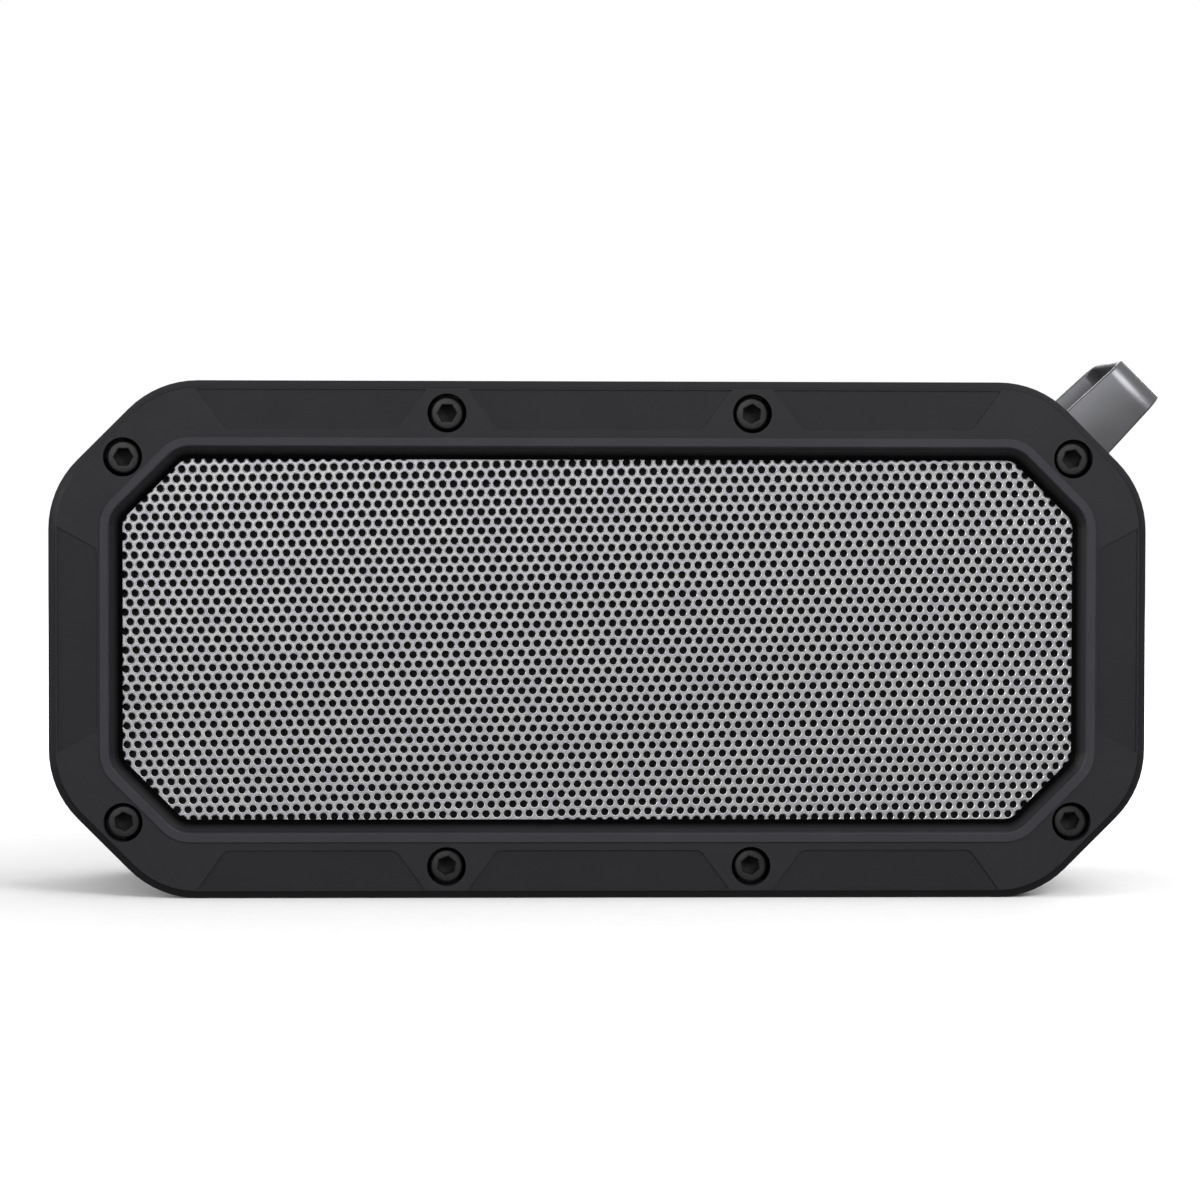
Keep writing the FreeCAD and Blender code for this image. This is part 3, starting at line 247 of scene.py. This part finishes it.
def oxidised_screw(name, colour):
    """Black oxide, dull below the heads' top faces and darkened there with painted shade."""
    material = grained(name, colour, 0.36, grain=5000, metallic=0.4, specular=0.35)
    tree = material.node_tree
    shader = tree.nodes["Principled BSDF"]
    plain = shader.inputs["Base Color"].links[0].from_socket
    # Painted shade: darker in the sockets and down the heads' sides, behind their top faces.
    depth = calculate(tree, "ABSOLUTE", object_axes(tree)[1])
    head_top = -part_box("case_screws")[0][1]
    fully_shaded, unshaded = head_top - 0.9 * MM, head_top - 0.1 * MM
    painted_shade = remap(tree, depth, 0.25, 1.0, fully_shaded, unshaded)
    tree.links.new(tint(tree, plain, painted_shade), shader.inputs["Base Color"])
    tree.links.new(remap(tree, depth, 0.7, 0.36, fully_shaded, unshaded), shader.inputs["Roughness"])
    return material


def brushed_metal(name, colour, roughness, stretch=(40, 1, 1)):
    """Metal with fine parallel scratches along one direction."""
    material, tree, shader = new_material(name)
    lines = noise(tree, 400, 3, stretch=stretch)
    colours = blend_colours(tree, lines, scaled(colour, 0.85), scaled(colour, 1.1))
    tree.links.new(colours, shader.inputs["Base Color"])
    tree.links.new(remap(tree, lines, roughness - 0.06, roughness + 0.08), shader.inputs["Roughness"])
    shader.inputs["Metallic"].default_value = 1.0
    bump(tree, shader, lines, 0.15, 0.00001)
    return material


def woven(name, dark, light, pitch):
    """Plain weave from two crossed sets of threads."""
    material, tree, shader = new_material(name)
    coords = tree.nodes.new("ShaderNodeTexCoord")
    weave = tree.nodes.new("ShaderNodeMath")
    weave.operation = "MULTIPLY"
    for slot, axis in enumerate(("X", "Z")):
        threads = tree.nodes.new("ShaderNodeTexWave")
        threads.bands_direction = axis
        threads.inputs["Scale"].default_value = 0.314 / pitch
        tree.links.new(coords.outputs["Object"], threads.inputs["Vector"])
        tree.links.new(threads.outputs["Fac"], weave.inputs[slot])
    tree.links.new(blend_colours(tree, weave.outputs[0], dark, light), shader.inputs["Base Color"])
    shader.inputs["Roughness"].default_value = 0.9
    bump(tree, shader, weave.outputs[0], 0.6, pitch * 0.3)
    return material


def circuit_board_material(name):
    """Green solder mask over copper tracks."""
    material, tree, shader = new_material(name)
    coords = tree.nodes.new("ShaderNodeTexCoord")
    tracks = tree.nodes.new("ShaderNodeTexBrick")
    tracks.inputs["Scale"].default_value = 180
    tracks.inputs["Mortar Size"].default_value = 0.03
    tracks.inputs["Color1"].default_value = (0.01, 0.11, 0.045, 1)
    tracks.inputs["Color2"].default_value = (0.012, 0.13, 0.05, 1)
    tracks.inputs["Mortar"].default_value = (0.03, 0.22, 0.09, 1)
    tree.links.new(coords.outputs["Object"], tracks.inputs["Vector"])
    tree.links.new(tracks.outputs["Color"], shader.inputs["Base Color"])
    shader.inputs["Roughness"].default_value = 0.3
    bump(tree, shader, tracks.outputs["Fac"], 0.3, 0.00003)
    return material


def punched_steel(name):
    """Satin plated sheet: cool and warm patches, a painted highlight round each hole's rim, and painted
    shade down its wall and on the back.
    """
    material, tree, shader = new_material(name)
    patches = noise(tree, 420, 4, 0.6)
    sheet = blend_colours(tree, patches, (0.37, 0.37, 0.42), (0.48, 0.48, 0.48))
    # Painted highlight at each hole's throat and painted shade down its wall and on the back face, from the
    # points' marks.
    rim = tree.nodes.new("ShaderNodeAttribute")
    rim.attribute_name = RIM_ATTRIBUTE
    painted_rim_light = tree.nodes.new("ShaderNodeMix")
    painted_rim_light.data_type = "RGBA"
    painted_rim_light.inputs["B"].default_value = (0.95, 0.95, 0.94, 1)
    tree.links.new(remap(tree, rim.outputs["Fac"], 0.0, 1.0, 0.05, 0.5), painted_rim_light.inputs["Factor"])
    tree.links.new(sheet, painted_rim_light.inputs["A"])
    painted_shade = remap(tree, rim.outputs["Fac"], 0.08, 1.0, -0.3, 0.0)
    tree.links.new(tint(tree, painted_rim_light.outputs["Result"], painted_shade), shader.inputs["Base Color"])
    tree.links.new(remap(tree, noise(tree, 1500, 3), 0.3, 0.42), shader.inputs["Roughness"])
    shader.inputs["Metallic"].default_value = 0.75
    bump(tree, shader, noise(tree, 2500, 2), 0.2, 0.00001)
    return material


CHARCOAL = (0.0115, 0.0112, 0.0138)


def make_materials():
    return {
        "bezel": soft_touch_frame("soft_touch_frame", CHARCOAL),
        "shell": grained("soft_touch_shell", scaled(CHARCOAL, 0.9), 0.52, specular=0.25),
        "button": grained("soft_touch_button", scaled(CHARCOAL, 0.8), 0.42, specular=0.3),
        "rubber": grained("black_rubber", (0.014, 0.014, 0.015), 0.62, grain=3000, depth=0.00004),
        "silicone": grained("grey_silicone", (0.05, 0.05, 0.055), 0.5, grain=2500),
        "loop": grained("gunmetal_band", (0.118, 0.119, 0.127), 0.33, grain=2500, depth=0.000002,
                        strength=0.05, metallic=0.6, variation=0.04),
        "black_screw": grained("black_oxide_steel", (0.023, 0.023, 0.024), 0.38, grain=5000, metallic=0.4),
        "case_screw": oxidised_screw("black_oxide_case_screw", (0.023, 0.023, 0.024)),
        "baffle": grained("black_abs", (0.02, 0.02, 0.022), 0.45),
        "component": grained("moulded_package", (0.018, 0.018, 0.02), 0.4, grain=4000),
        "jack": grained("black_nylon", (0.015, 0.015, 0.016), 0.35),
        "ferrite": grained("ferrite", (0.045, 0.045, 0.05), 0.5, grain=2500, depth=0.00005),
        "cone": grained("pressed_pulp", (0.02, 0.02, 0.02), 0.8, grain=1600, depth=0.00008, strength=0.5),
        "battery": grained("blue_shrink_wrap", (0.02, 0.07, 0.24), 0.28, grain=700, depth=0.00005),
        "lamp": grained("light_pipe", (0.72, 0.77, 0.82), 0.2, grain=1500, variation=0.05),
        "steel": brushed_metal("zinc_plate", (0.55, 0.56, 0.58), 0.32),
        "socket": brushed_metal("tinned_steel", (0.66, 0.66, 0.66), 0.25),
        "brass": brushed_metal("brass", (0.62, 0.44, 0.17), 0.3),
        "copper": brushed_metal("copper_winding", (0.72, 0.3, 0.14), 0.3, (1, 60, 1)),
        "cloth": woven("acoustic_cloth", (0.002, 0.002, 0.002), (0.008, 0.008, 0.008), 0.00025),
        "spider_cloth": woven("spider_cloth", (0.35, 0.22, 0.08), (0.6, 0.42, 0.18), 0.0005),
        "board": circuit_board_material("solder_mask"),
        "grille": punched_steel("punched_steel"),
    }


# ---------------------------------------------------------------- mesh helpers


def mesh_object(name, points, faces, material):
    mesh = bpy.data.meshes.new(name)
    mesh.from_pydata(points, [], faces)
    mesh.update()
    mesh.materials.append(material)
    obj = bpy.data.objects.new(name, mesh)
    bpy.context.scene.collection.objects.link(obj)
    return obj


def sharpen(obj, degrees):
    """Smooth shading except across edges sharper than the angle."""
    mesh = bmesh.new()
    mesh.from_mesh(obj.data)
    bmesh.ops.recalc_face_normals(mesh, faces=mesh.faces)
    for edge in mesh.edges:
        edge.smooth = edge.calc_face_angle(0.0) < math.radians(degrees)
    for face in mesh.faces:
        face.smooth = True
    mesh.to_mesh(obj.data)
    mesh.free()


def stand_in(piece, node):
    """A new piece of the housing that takes a CAD node's place."""
    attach(piece, "housing")
    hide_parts(node)


def half_turn(points):
    """Points turned half way about Z: from the front of the speaker to its back."""
    return [(-x, -y, z) for x, y, z in points]


def soft_edges(obj, width):
    """Welds a CAD mesh's split points and rounds its sharp edges."""
    weld = obj.modifiers.new("weld", "WELD")
    weld.merge_threshold = 0.000002
    bevel = obj.modifiers.new("edges", "BEVEL")
    bevel.width = width
    bevel.segments = 2
    bevel.limit_method = "ANGLE"
    bevel.angle_limit = math.radians(35)
    bevel.harden_normals = True


# ---------------------------------------------------------------- grilles

HOLE_PITCH = 1.5 * MM
ROW_STEP = 1.31 * MM
HOLE_RADIUS = 0.56 * MM
RIM_RADIUS = 0.67 * MM
RIM_DROP = 0.02 * MM
RIM_MARGIN = 0.10 * MM
# Marks for the grille's painted highlight on its rims and painted shade on its back.
RIM_ATTRIBUTE = "rim_highlight_and_back_shade"
HOLE_SIDES = 9
LATTICE_TURN = math.radians(1.0)
LATTICE_START = (0.45 * MM, -0.36 * MM)
OPENING_LEG = 8.4 * MM
SHEET_LAP = 1.2 * MM
SHEET_LEG = OPENING_LEG + SHEET_LAP * (2 - math.sqrt(2))


def octagon(half_w, half_h, leg):
    """A rectangle about the origin with its corners cut off, each cut taking leg from both sides."""
    upper = [(half_w, half_h - leg), (half_w - leg, half_h)]
    upper += [(-x, z) for x, z in reversed(upper)]
    return upper + [(-x, -z) for x, z in upper]


def lattice_sites(half_w, half_h, leg, margin):
    """Hole centres of the staggered pattern that stay a margin inside the sheet."""
    cos_turn, sin_turn = math.cos(LATTICE_TURN), math.sin(LATTICE_TURN)
    rows = int(half_h / ROW_STEP) + 3
    columns = int(half_w / HOLE_PITCH) + 3
    slant = half_w + half_h - leg - margin * math.sqrt(2)
    sites = []
    for row in range(-rows, rows + 1):
        for column in range(-columns, columns + 1):
            u = (column + (row % 2) / 2) * HOLE_PITCH
            v = row * ROW_STEP
            x = LATTICE_START[0] + u * cos_turn - v * sin_turn
            z = LATTICE_START[1] + u * sin_turn + v * cos_turn
            within = abs(x) < half_w - margin and abs(z) < half_h - margin
            if within and abs(x) + abs(z) < slant:
                sites.append((x, z))
    return sites


def ring_points(site, radius):
    step = 2 * math.pi / HOLE_SIDES
    return [(site[0] + radius * math.cos(i * step), site[1] + radius * math.sin(i * step))
            for i in range(HOLE_SIDES)]


def punched_plane(outline, sites, radius):
    """Points and triangles of a flat sheet with a round hole at each site."""
    flat = [Vector(corner) for corner in outline]
    loops = [list(range(len(outline)))]
    for site in sites:
        start = len(flat)
        flat.extend(Vector(point) for point in ring_points(site, radius))
        loops.append(list(range(start, start + HOLE_SIDES)))
    edges = []
    for loop in loops:
        edges.extend(zip(loop, loop[1:] + loop[:1]))
    points, _, triangles, _, _, _ = delaunay_2d_cdt(flat, edges, [], 1, 1e-9)
    if len(points) != len(flat):
        raise ValueError("the punched sheet's outlines cross")
    corners = len(outline)

    def hole_of(point):
        return (point - corners) // HOLE_SIDES if point >= corners else -1

    kept = [t for t in triangles if hole_of(t[0]) < 0 or len({hole_of(i) for i in t}) > 1]
    return [tuple(point) for point in points], kept


def hole_faces(count, rim, throat, exit_ring):
    """Each hole's pressed rim and its wall; the arguments are the first points of the three rings."""
    faces = []
    for first in range(0, count * HOLE_SIDES, HOLE_SIDES):
        for side in range(HOLE_SIDES):
            here, after = first + side, first + (side + 1) % HOLE_SIDES
            faces.append((rim + after, rim + here, throat + here, throat + after))
            faces.append((throat + after, throat + here, exit_ring + here, exit_ring + after))
    return faces


def perforated_grille(node, at_back, material):
    """The sheet with all its holes: each has a pressed-in rim and a wall right through."""
    low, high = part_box("front_grille")
    half_w, half_h = (high[0] - low[0]) / 2, (high[2] - low[2]) / 2
    outline = octagon(half_w, half_h, SHEET_LEG)
    sites = lattice_sites(half_w, half_h, SHEET_LEG, RIM_RADIUS + RIM_MARGIN)
    rims, front_triangles = punched_plane(outline, sites, RIM_RADIUS)
    exits, back_triangles = punched_plane(outline, sites, HOLE_RADIUS)
    throats = exits[len(outline):]
    points, faces = [], []
    starts = []
    for flat, depth in ((rims, low[1]), (exits, high[1]), (throats, low[1] + RIM_DROP)):
        starts.append(len(points))
        points.extend((x, depth, z + CENTRE_Z) for x, z in flat)
    front, back, throat = starts
    corners = len(outline)
    faces.extend([tuple(front + i for i in triangle) for triangle in front_triangles])
    faces.extend([tuple(back + i for i in reversed(triangle)) for triangle in back_triangles])
    flat_count = len(faces)
    faces.extend(hole_faces(len(sites), front + corners, throat, back + corners))
    for here in range(corners):
        after = (here + 1) % corners
        faces.append((front + after, front + here, back + here, back + after))
    piece = mesh_object(f"{node}_punched", half_turn(points) if at_back else points, faces, material)
    mesh = piece.data
    for polygon in mesh.polygons[flat_count:-corners]:
        polygon.use_smooth = True
    mark_rims(mesh, back, throat)
    stand_in(piece, node)


def mark_rims(mesh, back_start, throat_start):
    """Marks each point: 1 at the throats, for a painted highlight, 0 on the front face, -1 on the back, for
    painted shade.
    """
    painted_rim_light = mesh.attributes.new(RIM_ATTRIBUTE, "FLOAT", "POINT")
    for index in range(back_start, throat_start):
        painted_rim_light.data[index].value = -1.0
    for index in range(throat_start, len(mesh.vertices)):
        painted_rim_light.data[index].value = 1.0


# ---------------------------------------------------------------- screws

SCREW_SIDES = 36
HEAD_RADIUS = 2.25 * MM
HEAD_HEIGHT = 2.5 * MM
HEAD_ROUND = 0.3 * MM
KNURL_DEPTH = 0.05 * MM
SHANK_RADIUS = 1.2 * MM
SHANK_LENGTH = 10 * MM
THREAD_PITCH = 0.45 * MM
THREAD_ROOT = 0.84
HEX_RADIUS = 1.3 * MM
HEX_MOUTH = 1.46 * MM
HEX_DEPTH = 1.1 * MM
BORE_RADIUS = 1.1 * MM
BORE_DEPTH = 1.6 * MM
HEX_TURNS = (10, 5, 0, 36, 27, 40, 0, 21)
SCREW_SPOTS = ((65.7 * MM, 25.2 * MM), (21.1 * MM, 31.35 * MM))


class ScrewMesh:
    """Builds the rings and bands of screws whose heads face the front."""

    def __init__(self):
        self.points = []
        self.faces = []
        self.seat = (0, 0, 0)

    def ring(self, radius, height, sides=SCREW_SIDES, turn=0.0, notch=0.0):
        start = len(self.points)
        for i in range(sides):
            angle = turn + 2 * math.pi * i / sides
            reach = radius - notch * (i % 2)
            self.points.append((self.seat[0] + reach * math.cos(angle), self.seat[1] - height,
                                self.seat[2] + reach * math.sin(angle)))
        return list(range(start, start + sides))

    def band(self, lower, upper):
        for i in range(len(lower)):
            j = (i + 1) % len(lower)
            self.faces.append((lower[i], lower[j], upper[j], upper[i]))

    def hexagon_to_circle(self, hexagon, circle, turn):
        """Six flat pieces between a hexagon and a circle about the same centre."""
        first = round(turn / (2 * math.pi / SCREW_SIDES))
        per_side = SCREW_SIDES // 6
        for i in range(6):
            start = first + i * per_side
            arc = [circle[(start + k) % SCREW_SIDES] for k in range(per_side + 1)]
            self.faces.append((hexagon[i], *arc, hexagon[(i + 1) % 6]))

    def shank(self):
        tip = self.ring(SHANK_RADIUS * 0.6, -SHANK_LENGTH)
        self.faces.append(tuple(tip))
        rings = [tip]
        for step in range(int(SHANK_LENGTH / THREAD_PITCH) - 1):
            depth = -SHANK_LENGTH + (step + 0.7) * THREAD_PITCH
            rings.append(self.ring(SHANK_RADIUS, depth))
            rings.append(self.ring(SHANK_RADIUS * THREAD_ROOT, depth + THREAD_PITCH / 2))
        rings.append(self.ring(SHANK_RADIUS, 0))
        return rings

    def head(self):
        rings = [self.ring(HEAD_RADIUS - 0.15 * MM, 0), self.ring(HEAD_RADIUS, 0.15 * MM, notch=KNURL_DEPTH),
                 self.ring(HEAD_RADIUS, HEAD_HEIGHT - HEAD_ROUND - 0.1 * MM, notch=KNURL_DEPTH)]
        for step in range(5):
            angle = step * math.pi / 8
            inset = HEAD_ROUND * (1 - math.cos(angle))
            height = HEAD_HEIGHT - HEAD_ROUND * (1 - math.sin(angle))
            rings.append(self.ring(HEAD_RADIUS - inset, height))
        return rings

    def socket(self, head_rim, turn):
        mouth = self.ring(HEX_MOUTH, HEAD_HEIGHT, 6, turn)
        throat = self.ring(HEX_RADIUS, HEAD_HEIGHT - 0.16 * MM, 6, turn)
        floor = self.ring(HEX_RADIUS, HEAD_HEIGHT - HEX_DEPTH, 6, turn)
        bore_top = self.ring(BORE_RADIUS, HEAD_HEIGHT - HEX_DEPTH)
        bore_low = self.ring(BORE_RADIUS, HEAD_HEIGHT - BORE_DEPTH)
        centre = self.ring(0.1 * MM, HEAD_HEIGHT - BORE_DEPTH - 0.45 * MM)
        self.hexagon_to_circle(mouth, head_rim, turn)
        self.band(mouth, throat)
        self.band(throat, floor)
        self.hexagon_to_circle(floor, bore_top, turn)
        self.band(bore_top, bore_low)
        self.band(bore_low, centre)
        self.faces.append(tuple(centre))

    def add(self, seat, turn):
        self.seat = seat
        rings = self.shank() + self.head()
        for lower, upper in zip(rings, rings[1:]):
            self.band(lower, upper)
        self.socket(rings[-1], turn)


def case_screws(material):
    """Eight socket cap screws in the front bezel, and the same eight turned to the rear one."""
    screws = ScrewMesh()
    seat_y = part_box("case_screws")[0][1] + HEAD_HEIGHT
    spots = [(x * side, z * end) for x, z in SCREW_SPOTS for side in (1, -1) for end in (1, -1)]
    for (x, z), turn in zip(spots, HEX_TURNS):
        screws.add((x, seat_y, CENTRE_Z + z), math.radians(turn))
    count = len(screws.points)
    points = screws.points + half_turn(screws.points)
    faces = screws.faces + [tuple(i + count for i in face) for face in screws.faces]
    piece = mesh_object("case_screws_detailed", points, faces, material)
    sharpen(piece, 38)
    stand_in(piece, "case_screws")


# ---------------------------------------------------------------- strap loop

BAND_THICKNESS = 1.2 * MM
BAND_EDGE = 0.3 * MM
LOOP_FLOOR = 2.2 * MM
LOOP_FOOT = 0.65 * MM
LOOP_SHOULDER = 2.6 * MM
LOOP_TAPER = 0.065
LOOP_STEP = 0.8 * MM
LEAN = math.sqrt(0.5)


def rounded_path(corners, step):
    """Closed path through (y, out, radius) corners: arcs at the corners, evenly divided runs."""
    arcs = []
    count = len(corners)
    for index, (y, out, radius) in enumerate(corners):
        here = Vector((y, out))
        before = Vector(corners[index - 1][:2])
        after = Vector(corners[(index + 1) % count][:2])
        incoming, outgoing = (before - here).normalized(), (after - here).normalized()
        half_angle = incoming.angle(outgoing) / 2
        centre = here + (incoming + outgoing).normalized() * (radius / math.sin(half_angle))
        first = here + incoming * (radius / math.tan(half_angle)) - centre
        last = here + outgoing * (radius / math.tan(half_angle)) - centre
        sweep = math.atan2(first.x * last.y - first.y * last.x, first.dot(last))
        pieces = max(2, math.ceil(abs(sweep) / math.radians(6)))
        arcs.append([centre + Matrix.Rotation(sweep * k / pieces, 2) @ first for k in range(pieces + 1)])
    path = []
    for index, arc in enumerate(arcs):
        path.extend(arc)
        start, end = arc[-1], arcs[(index + 1) % count][0]
        runs = max(1, round((end - start).length / step))
        path.extend(start.lerp(end, k / runs) for k in range(1, runs))
    return path


def band_section(width):
    """Rounded rectangle across the band, as (outwards, across) pairs."""
    section = []
    half_t, half_w = BAND_THICKNESS / 2 - BAND_EDGE, width / 2 - BAND_EDGE
    for quarter, (t_sign, w_sign) in enumerate(((1, 1), (-1, 1), (-1, -1), (1, -1))):
        for step in range(4):
            angle = math.pi / 2 * (quarter + step / 3)
            section.append((t_sign * half_t + BAND_EDGE * math.cos(angle),
                            w_sign * half_w + BAND_EDGE * math.sin(angle)))
    return section


def strap_loop(material):
    """Glossy band: a base strip in its seat and a flat-topped arch, a little narrower at its tip."""
    low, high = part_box("strap_loop")
    corner = Vector((HALF_WIDTH - CORNER_LEG / 2, 0, CENTRE_Z + HALF_HEIGHT - CORNER_LEG / 2))
    width = 2 * ((corner.x - low[0]) / LEAN - LOOP_FLOOR)
    tip = (high[0] - corner.x) / LEAN - width / 2
    half = BAND_THICKNESS / 2
    side, base, crown = high[1] - half, half - LOOP_FLOOR, tip - half
    corners = [(-side, base, LOOP_FOOT), (side, base, LOOP_FOOT), (side, crown, LOOP_SHOULDER),
               (-side, crown, LOOP_SHOULDER)]
    path = rounded_path(corners, LOOP_STEP)
    out_axis, across_axis = Vector((LEAN, 0, LEAN)), Vector((LEAN, 0, -LEAN))
    points, faces = [], []
    count = len(path)
    for index, spot in enumerate(path):
        ahead = (path[(index + 1) % count] - path[index - 1]).normalized()
        rise = max(0.0, spot.y / tip)
        for outwards, across in band_section(width * (1 + LOOP_TAPER * (1 - 2 * rise))):
            y = spot.x + ahead.y * outwards
            out = spot.y - ahead.x * outwards
            points.append(corner + out_axis * out + across_axis * across + Vector((0, y, 0)))
    size = len(points) // count
    for index in range(count):
        here, there = index * size, (index + 1) % count * size
        for k in range(size):
            j = (k + 1) % size
            faces.append((here + k, here + j, there + j, there + k))
    piece = mesh_object("strap_loop_band", [tuple(point) for point in points], faces, material)
    sharpen(piece, 60)
    stand_in(piece, "strap_loop")


# ---------------------------------------------------------------- cloths

CLOTH_COLUMNS = 96
CLOTH_ROWS = 38
CLOTH_HALF_THICKNESS = 0.06 * MM
CLOTH_WAVE = 0.03 * MM


def acoustic_cloth(node, material):
    """A stretched sheet of fine cloth, very slightly wavy, glued behind the grille."""
    low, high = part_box(node)
    half_w, half_h = (high[0] - low[0]) / 2, (high[2] - low[2]) / 2
    middle_y = (low[1] + high[1]) / 2
    points, faces = [], []
    for side in (-1, 1):
        for row in range(CLOTH_ROWS + 1):
            z = half_h * (2 * row / CLOTH_ROWS - 1)
            reach = min(half_w, half_w + half_h - SHEET_LEG - abs(z))
            for column in range(CLOTH_COLUMNS + 1):
                x = reach * (2 * column / CLOTH_COLUMNS - 1)
                wave = CLOTH_WAVE * math.sin(x * 900) * math.sin(z * 700)
                points.append((x, middle_y + side * CLOTH_HALF_THICKNESS + wave, z + CENTRE_Z))
    width = CLOTH_COLUMNS + 1
    layer = (CLOTH_ROWS + 1) * width
    for row in range(CLOTH_ROWS):
        for column in range(CLOTH_COLUMNS):
            first = row * width + column
            front = (first, first + 1, first + width + 1, first + width)
            faces.append(front)
            faces.append(tuple(layer + i for i in reversed(front)))
    rim = list(range(CLOTH_COLUMNS)) + [row * width + CLOTH_COLUMNS for row in range(CLOTH_ROWS)]
    rim += [layer - 1 - column for column in range(CLOTH_COLUMNS)]
    rim += [row * width for row in range(CLOTH_ROWS, 0, -1)]
    for here, after in zip(rim, rim[1:] + rim[:1]):
        faces.append((after, here, layer + here, layer + after))
    piece = mesh_object(f"{node}_woven", points, faces, material)
    stand_in(piece, node)


# ---------------------------------------------------------------- CAD nodes that stay

EDGE_WIDTHS = {
    "front_bezel": 0.14 * MM,
    "rear_bezel": 0.14 * MM,
    "middle_shell": 0.15 * MM,
    "rubber_foot": 0.3 * MM,
    "port_cover": 0.15 * MM,
    "power_button": 0.12 * MM,
    "volume_down_button": 0.12 * MM,
    "play_button": 0.12 * MM,
    "volume_up_button": 0.12 * MM,
    "strap_loop_screws": 0.08 * MM,
}


def dress_cad_nodes(materials):
    """Gives every CAD node its slot's procedural material, and soft edges where it is seen."""
    slots = {subpart["node"]: subpart["material_slot"] for subpart in frame["record"]["subparts"]}
    for node, obj in NODES.items():
        obj.data.materials.clear()
        obj.data.materials.append(materials[slots[node]])
        if node in EDGE_WIDTHS:
            soft_edges(obj, EDGE_WIDTHS[node])


# ---------------------------------------------------------------- studio


FLOOR_HALF = 8.0
GLOW_NEAR = 0.0
GLOW_FAR = 0.42
GLOW_START = 0.09
GLOW_FULL = 0.3


def area_light(name, place, target, size, energy):
    light = bpy.data.lights.new(name, "AREA")
    light.shape = "RECTANGLE"
    light.size, light.size_y = size
    light.energy = energy
    obj = bpy.data.objects.new(name, light)
    obj.location = place
    obj.rotation_euler = (Vector(target) - Vector(place)).to_track_quat("-Z", "Y").to_euler()
    bpy.context.scene.collection.objects.link(obj)


def build_floor():
    """A wide pale table that glows away from the speaker, with painted shade where the glow fades out near
    it; it takes its shadow and throws no light back.
    """
    material, tree, shader = new_material("studio_floor")
    shader.inputs["Roughness"].default_value = 0.9
    specks = blend_colours(tree, noise(tree, 300, 3), (0.88, 0.88, 0.88), (0.9, 0.9, 0.9))
    tree.links.new(specks, shader.inputs["Base Color"])
    shader.inputs["Emission Color"].default_value = (1, 1, 1, 1)
    coords = tree.nodes.new("ShaderNodeTexCoord")
    reach = tree.nodes.new("ShaderNodeVectorMath")
    reach.operation = "LENGTH"
    tree.links.new(coords.outputs["Object"], reach.inputs[0])
    # Painted shade: the glow fades to GLOW_NEAR close to the speaker.
    glow = remap(tree, reach.outputs["Value"], GLOW_NEAR, GLOW_FAR, GLOW_START, GLOW_FULL)
    tree.links.new(glow, shader.inputs["Emission Strength"])
    corners = [(x * FLOOR_HALF, y * FLOOR_HALF, 0) for x, y in ((-1, -1), (1, -1), (1, 1), (-1, 1))]
    floor = mesh_object("studio_floor", corners, [(0, 1, 2, 3)], material)
    floor.visible_diffuse = False
    floor.visible_glossy = False


SKY_TOP = 1.0
SKY_LOW = 0.26
SKY_SPAN = (-0.3, 0.8)


def build_world():
    """White behind the speaker; the light it throws is bright above and dim below."""
    world = bpy.data.worlds.new("studio")
    bpy.context.scene.world = world
    world.use_nodes = True
    tree = world.node_tree
    backdrop = tree.nodes["Background"]
    backdrop.inputs["Color"].default_value = (1, 1, 1, 1)
    dome = tree.nodes.new("ShaderNodeBackground")
    coords = tree.nodes.new("ShaderNodeTexCoord")
    split = tree.nodes.new("ShaderNodeSeparateXYZ")
    tree.links.new(coords.outputs["Generated"], split.inputs["Vector"])
    tree.links.new(remap(tree, split.outputs["Z"], SKY_LOW, SKY_TOP, *SKY_SPAN), dome.inputs["Strength"])
    paths = tree.nodes.new("ShaderNodeLightPath")
    mix = tree.nodes.new("ShaderNodeMixShader")
    tree.links.new(paths.outputs["Is Camera Ray"], mix.inputs["Fac"])
    tree.links.new(dome.outputs["Background"], mix.inputs[1])
    tree.links.new(backdrop.outputs["Background"], mix.inputs[2])
    tree.links.new(mix.outputs["Shader"], tree.nodes["World Output"].inputs["Surface"])


def build_lights():
    area_light("key", (0.34, -0.52, 0.36), (0.06, 0, 0.06), (0.30, 0.30), 3.2)
    area_light("left_edge", (-0.85, -0.35, 0.30), (0, 0, 0.04), (0.4, 0.4), 3.0)
    area_light("back_fill", (0.35, 0.95, 0.45), (0, 0, 0.03), (0.7, 0.5), 6.0)
    area_light("front_fill", (-0.25, -0.95, 0.30), (0, 0, 0.03), (0.7, 0.5), 2.9)


CAMERA_PLACE = Vector((-0.01962, -0.593, 0.05993))
CAMERA_YAW = 0.0345
CAMERA_PITCH = -0.0325
CAMERA_ROLL = 0.0022
CAMERA_LENS = 123.9


def build_camera():
    data = bpy.data.cameras.new("camera")
    data.lens = CAMERA_LENS
    data.sensor_width = 36
    data.dof.use_dof = False
    camera = bpy.data.objects.new("camera", data)
    camera.location = CAMERA_PLACE
    level = math.cos(CAMERA_PITCH)
    look = Vector((math.sin(CAMERA_YAW) * level, math.cos(CAMERA_YAW) * level, math.sin(CAMERA_PITCH)))
    turn = look.to_track_quat("-Z", "Y").to_matrix().to_4x4() @ Matrix.Rotation(CAMERA_ROLL, 4, "Z")
    camera.rotation_euler = turn.to_euler()
    bpy.context.scene.collection.objects.link(camera)
    bpy.context.scene.camera = camera


build_camera()
MATERIALS = make_materials()
dress_cad_nodes(MATERIALS)
perforated_grille("front_grille", False, MATERIALS["grille"])
perforated_grille("rear_grille", True, MATERIALS["grille"])
for cloth_node in ("front_grille_cloth", "rear_grille_cloth"):
    acoustic_cloth(cloth_node, MATERIALS["cloth"])
case_screws(MATERIALS["case_screw"])
strap_loop(MATERIALS["loop"])
build_floor()
build_world()
build_lights()
bpy.context.scene.view_settings.view_transform = "Standard"
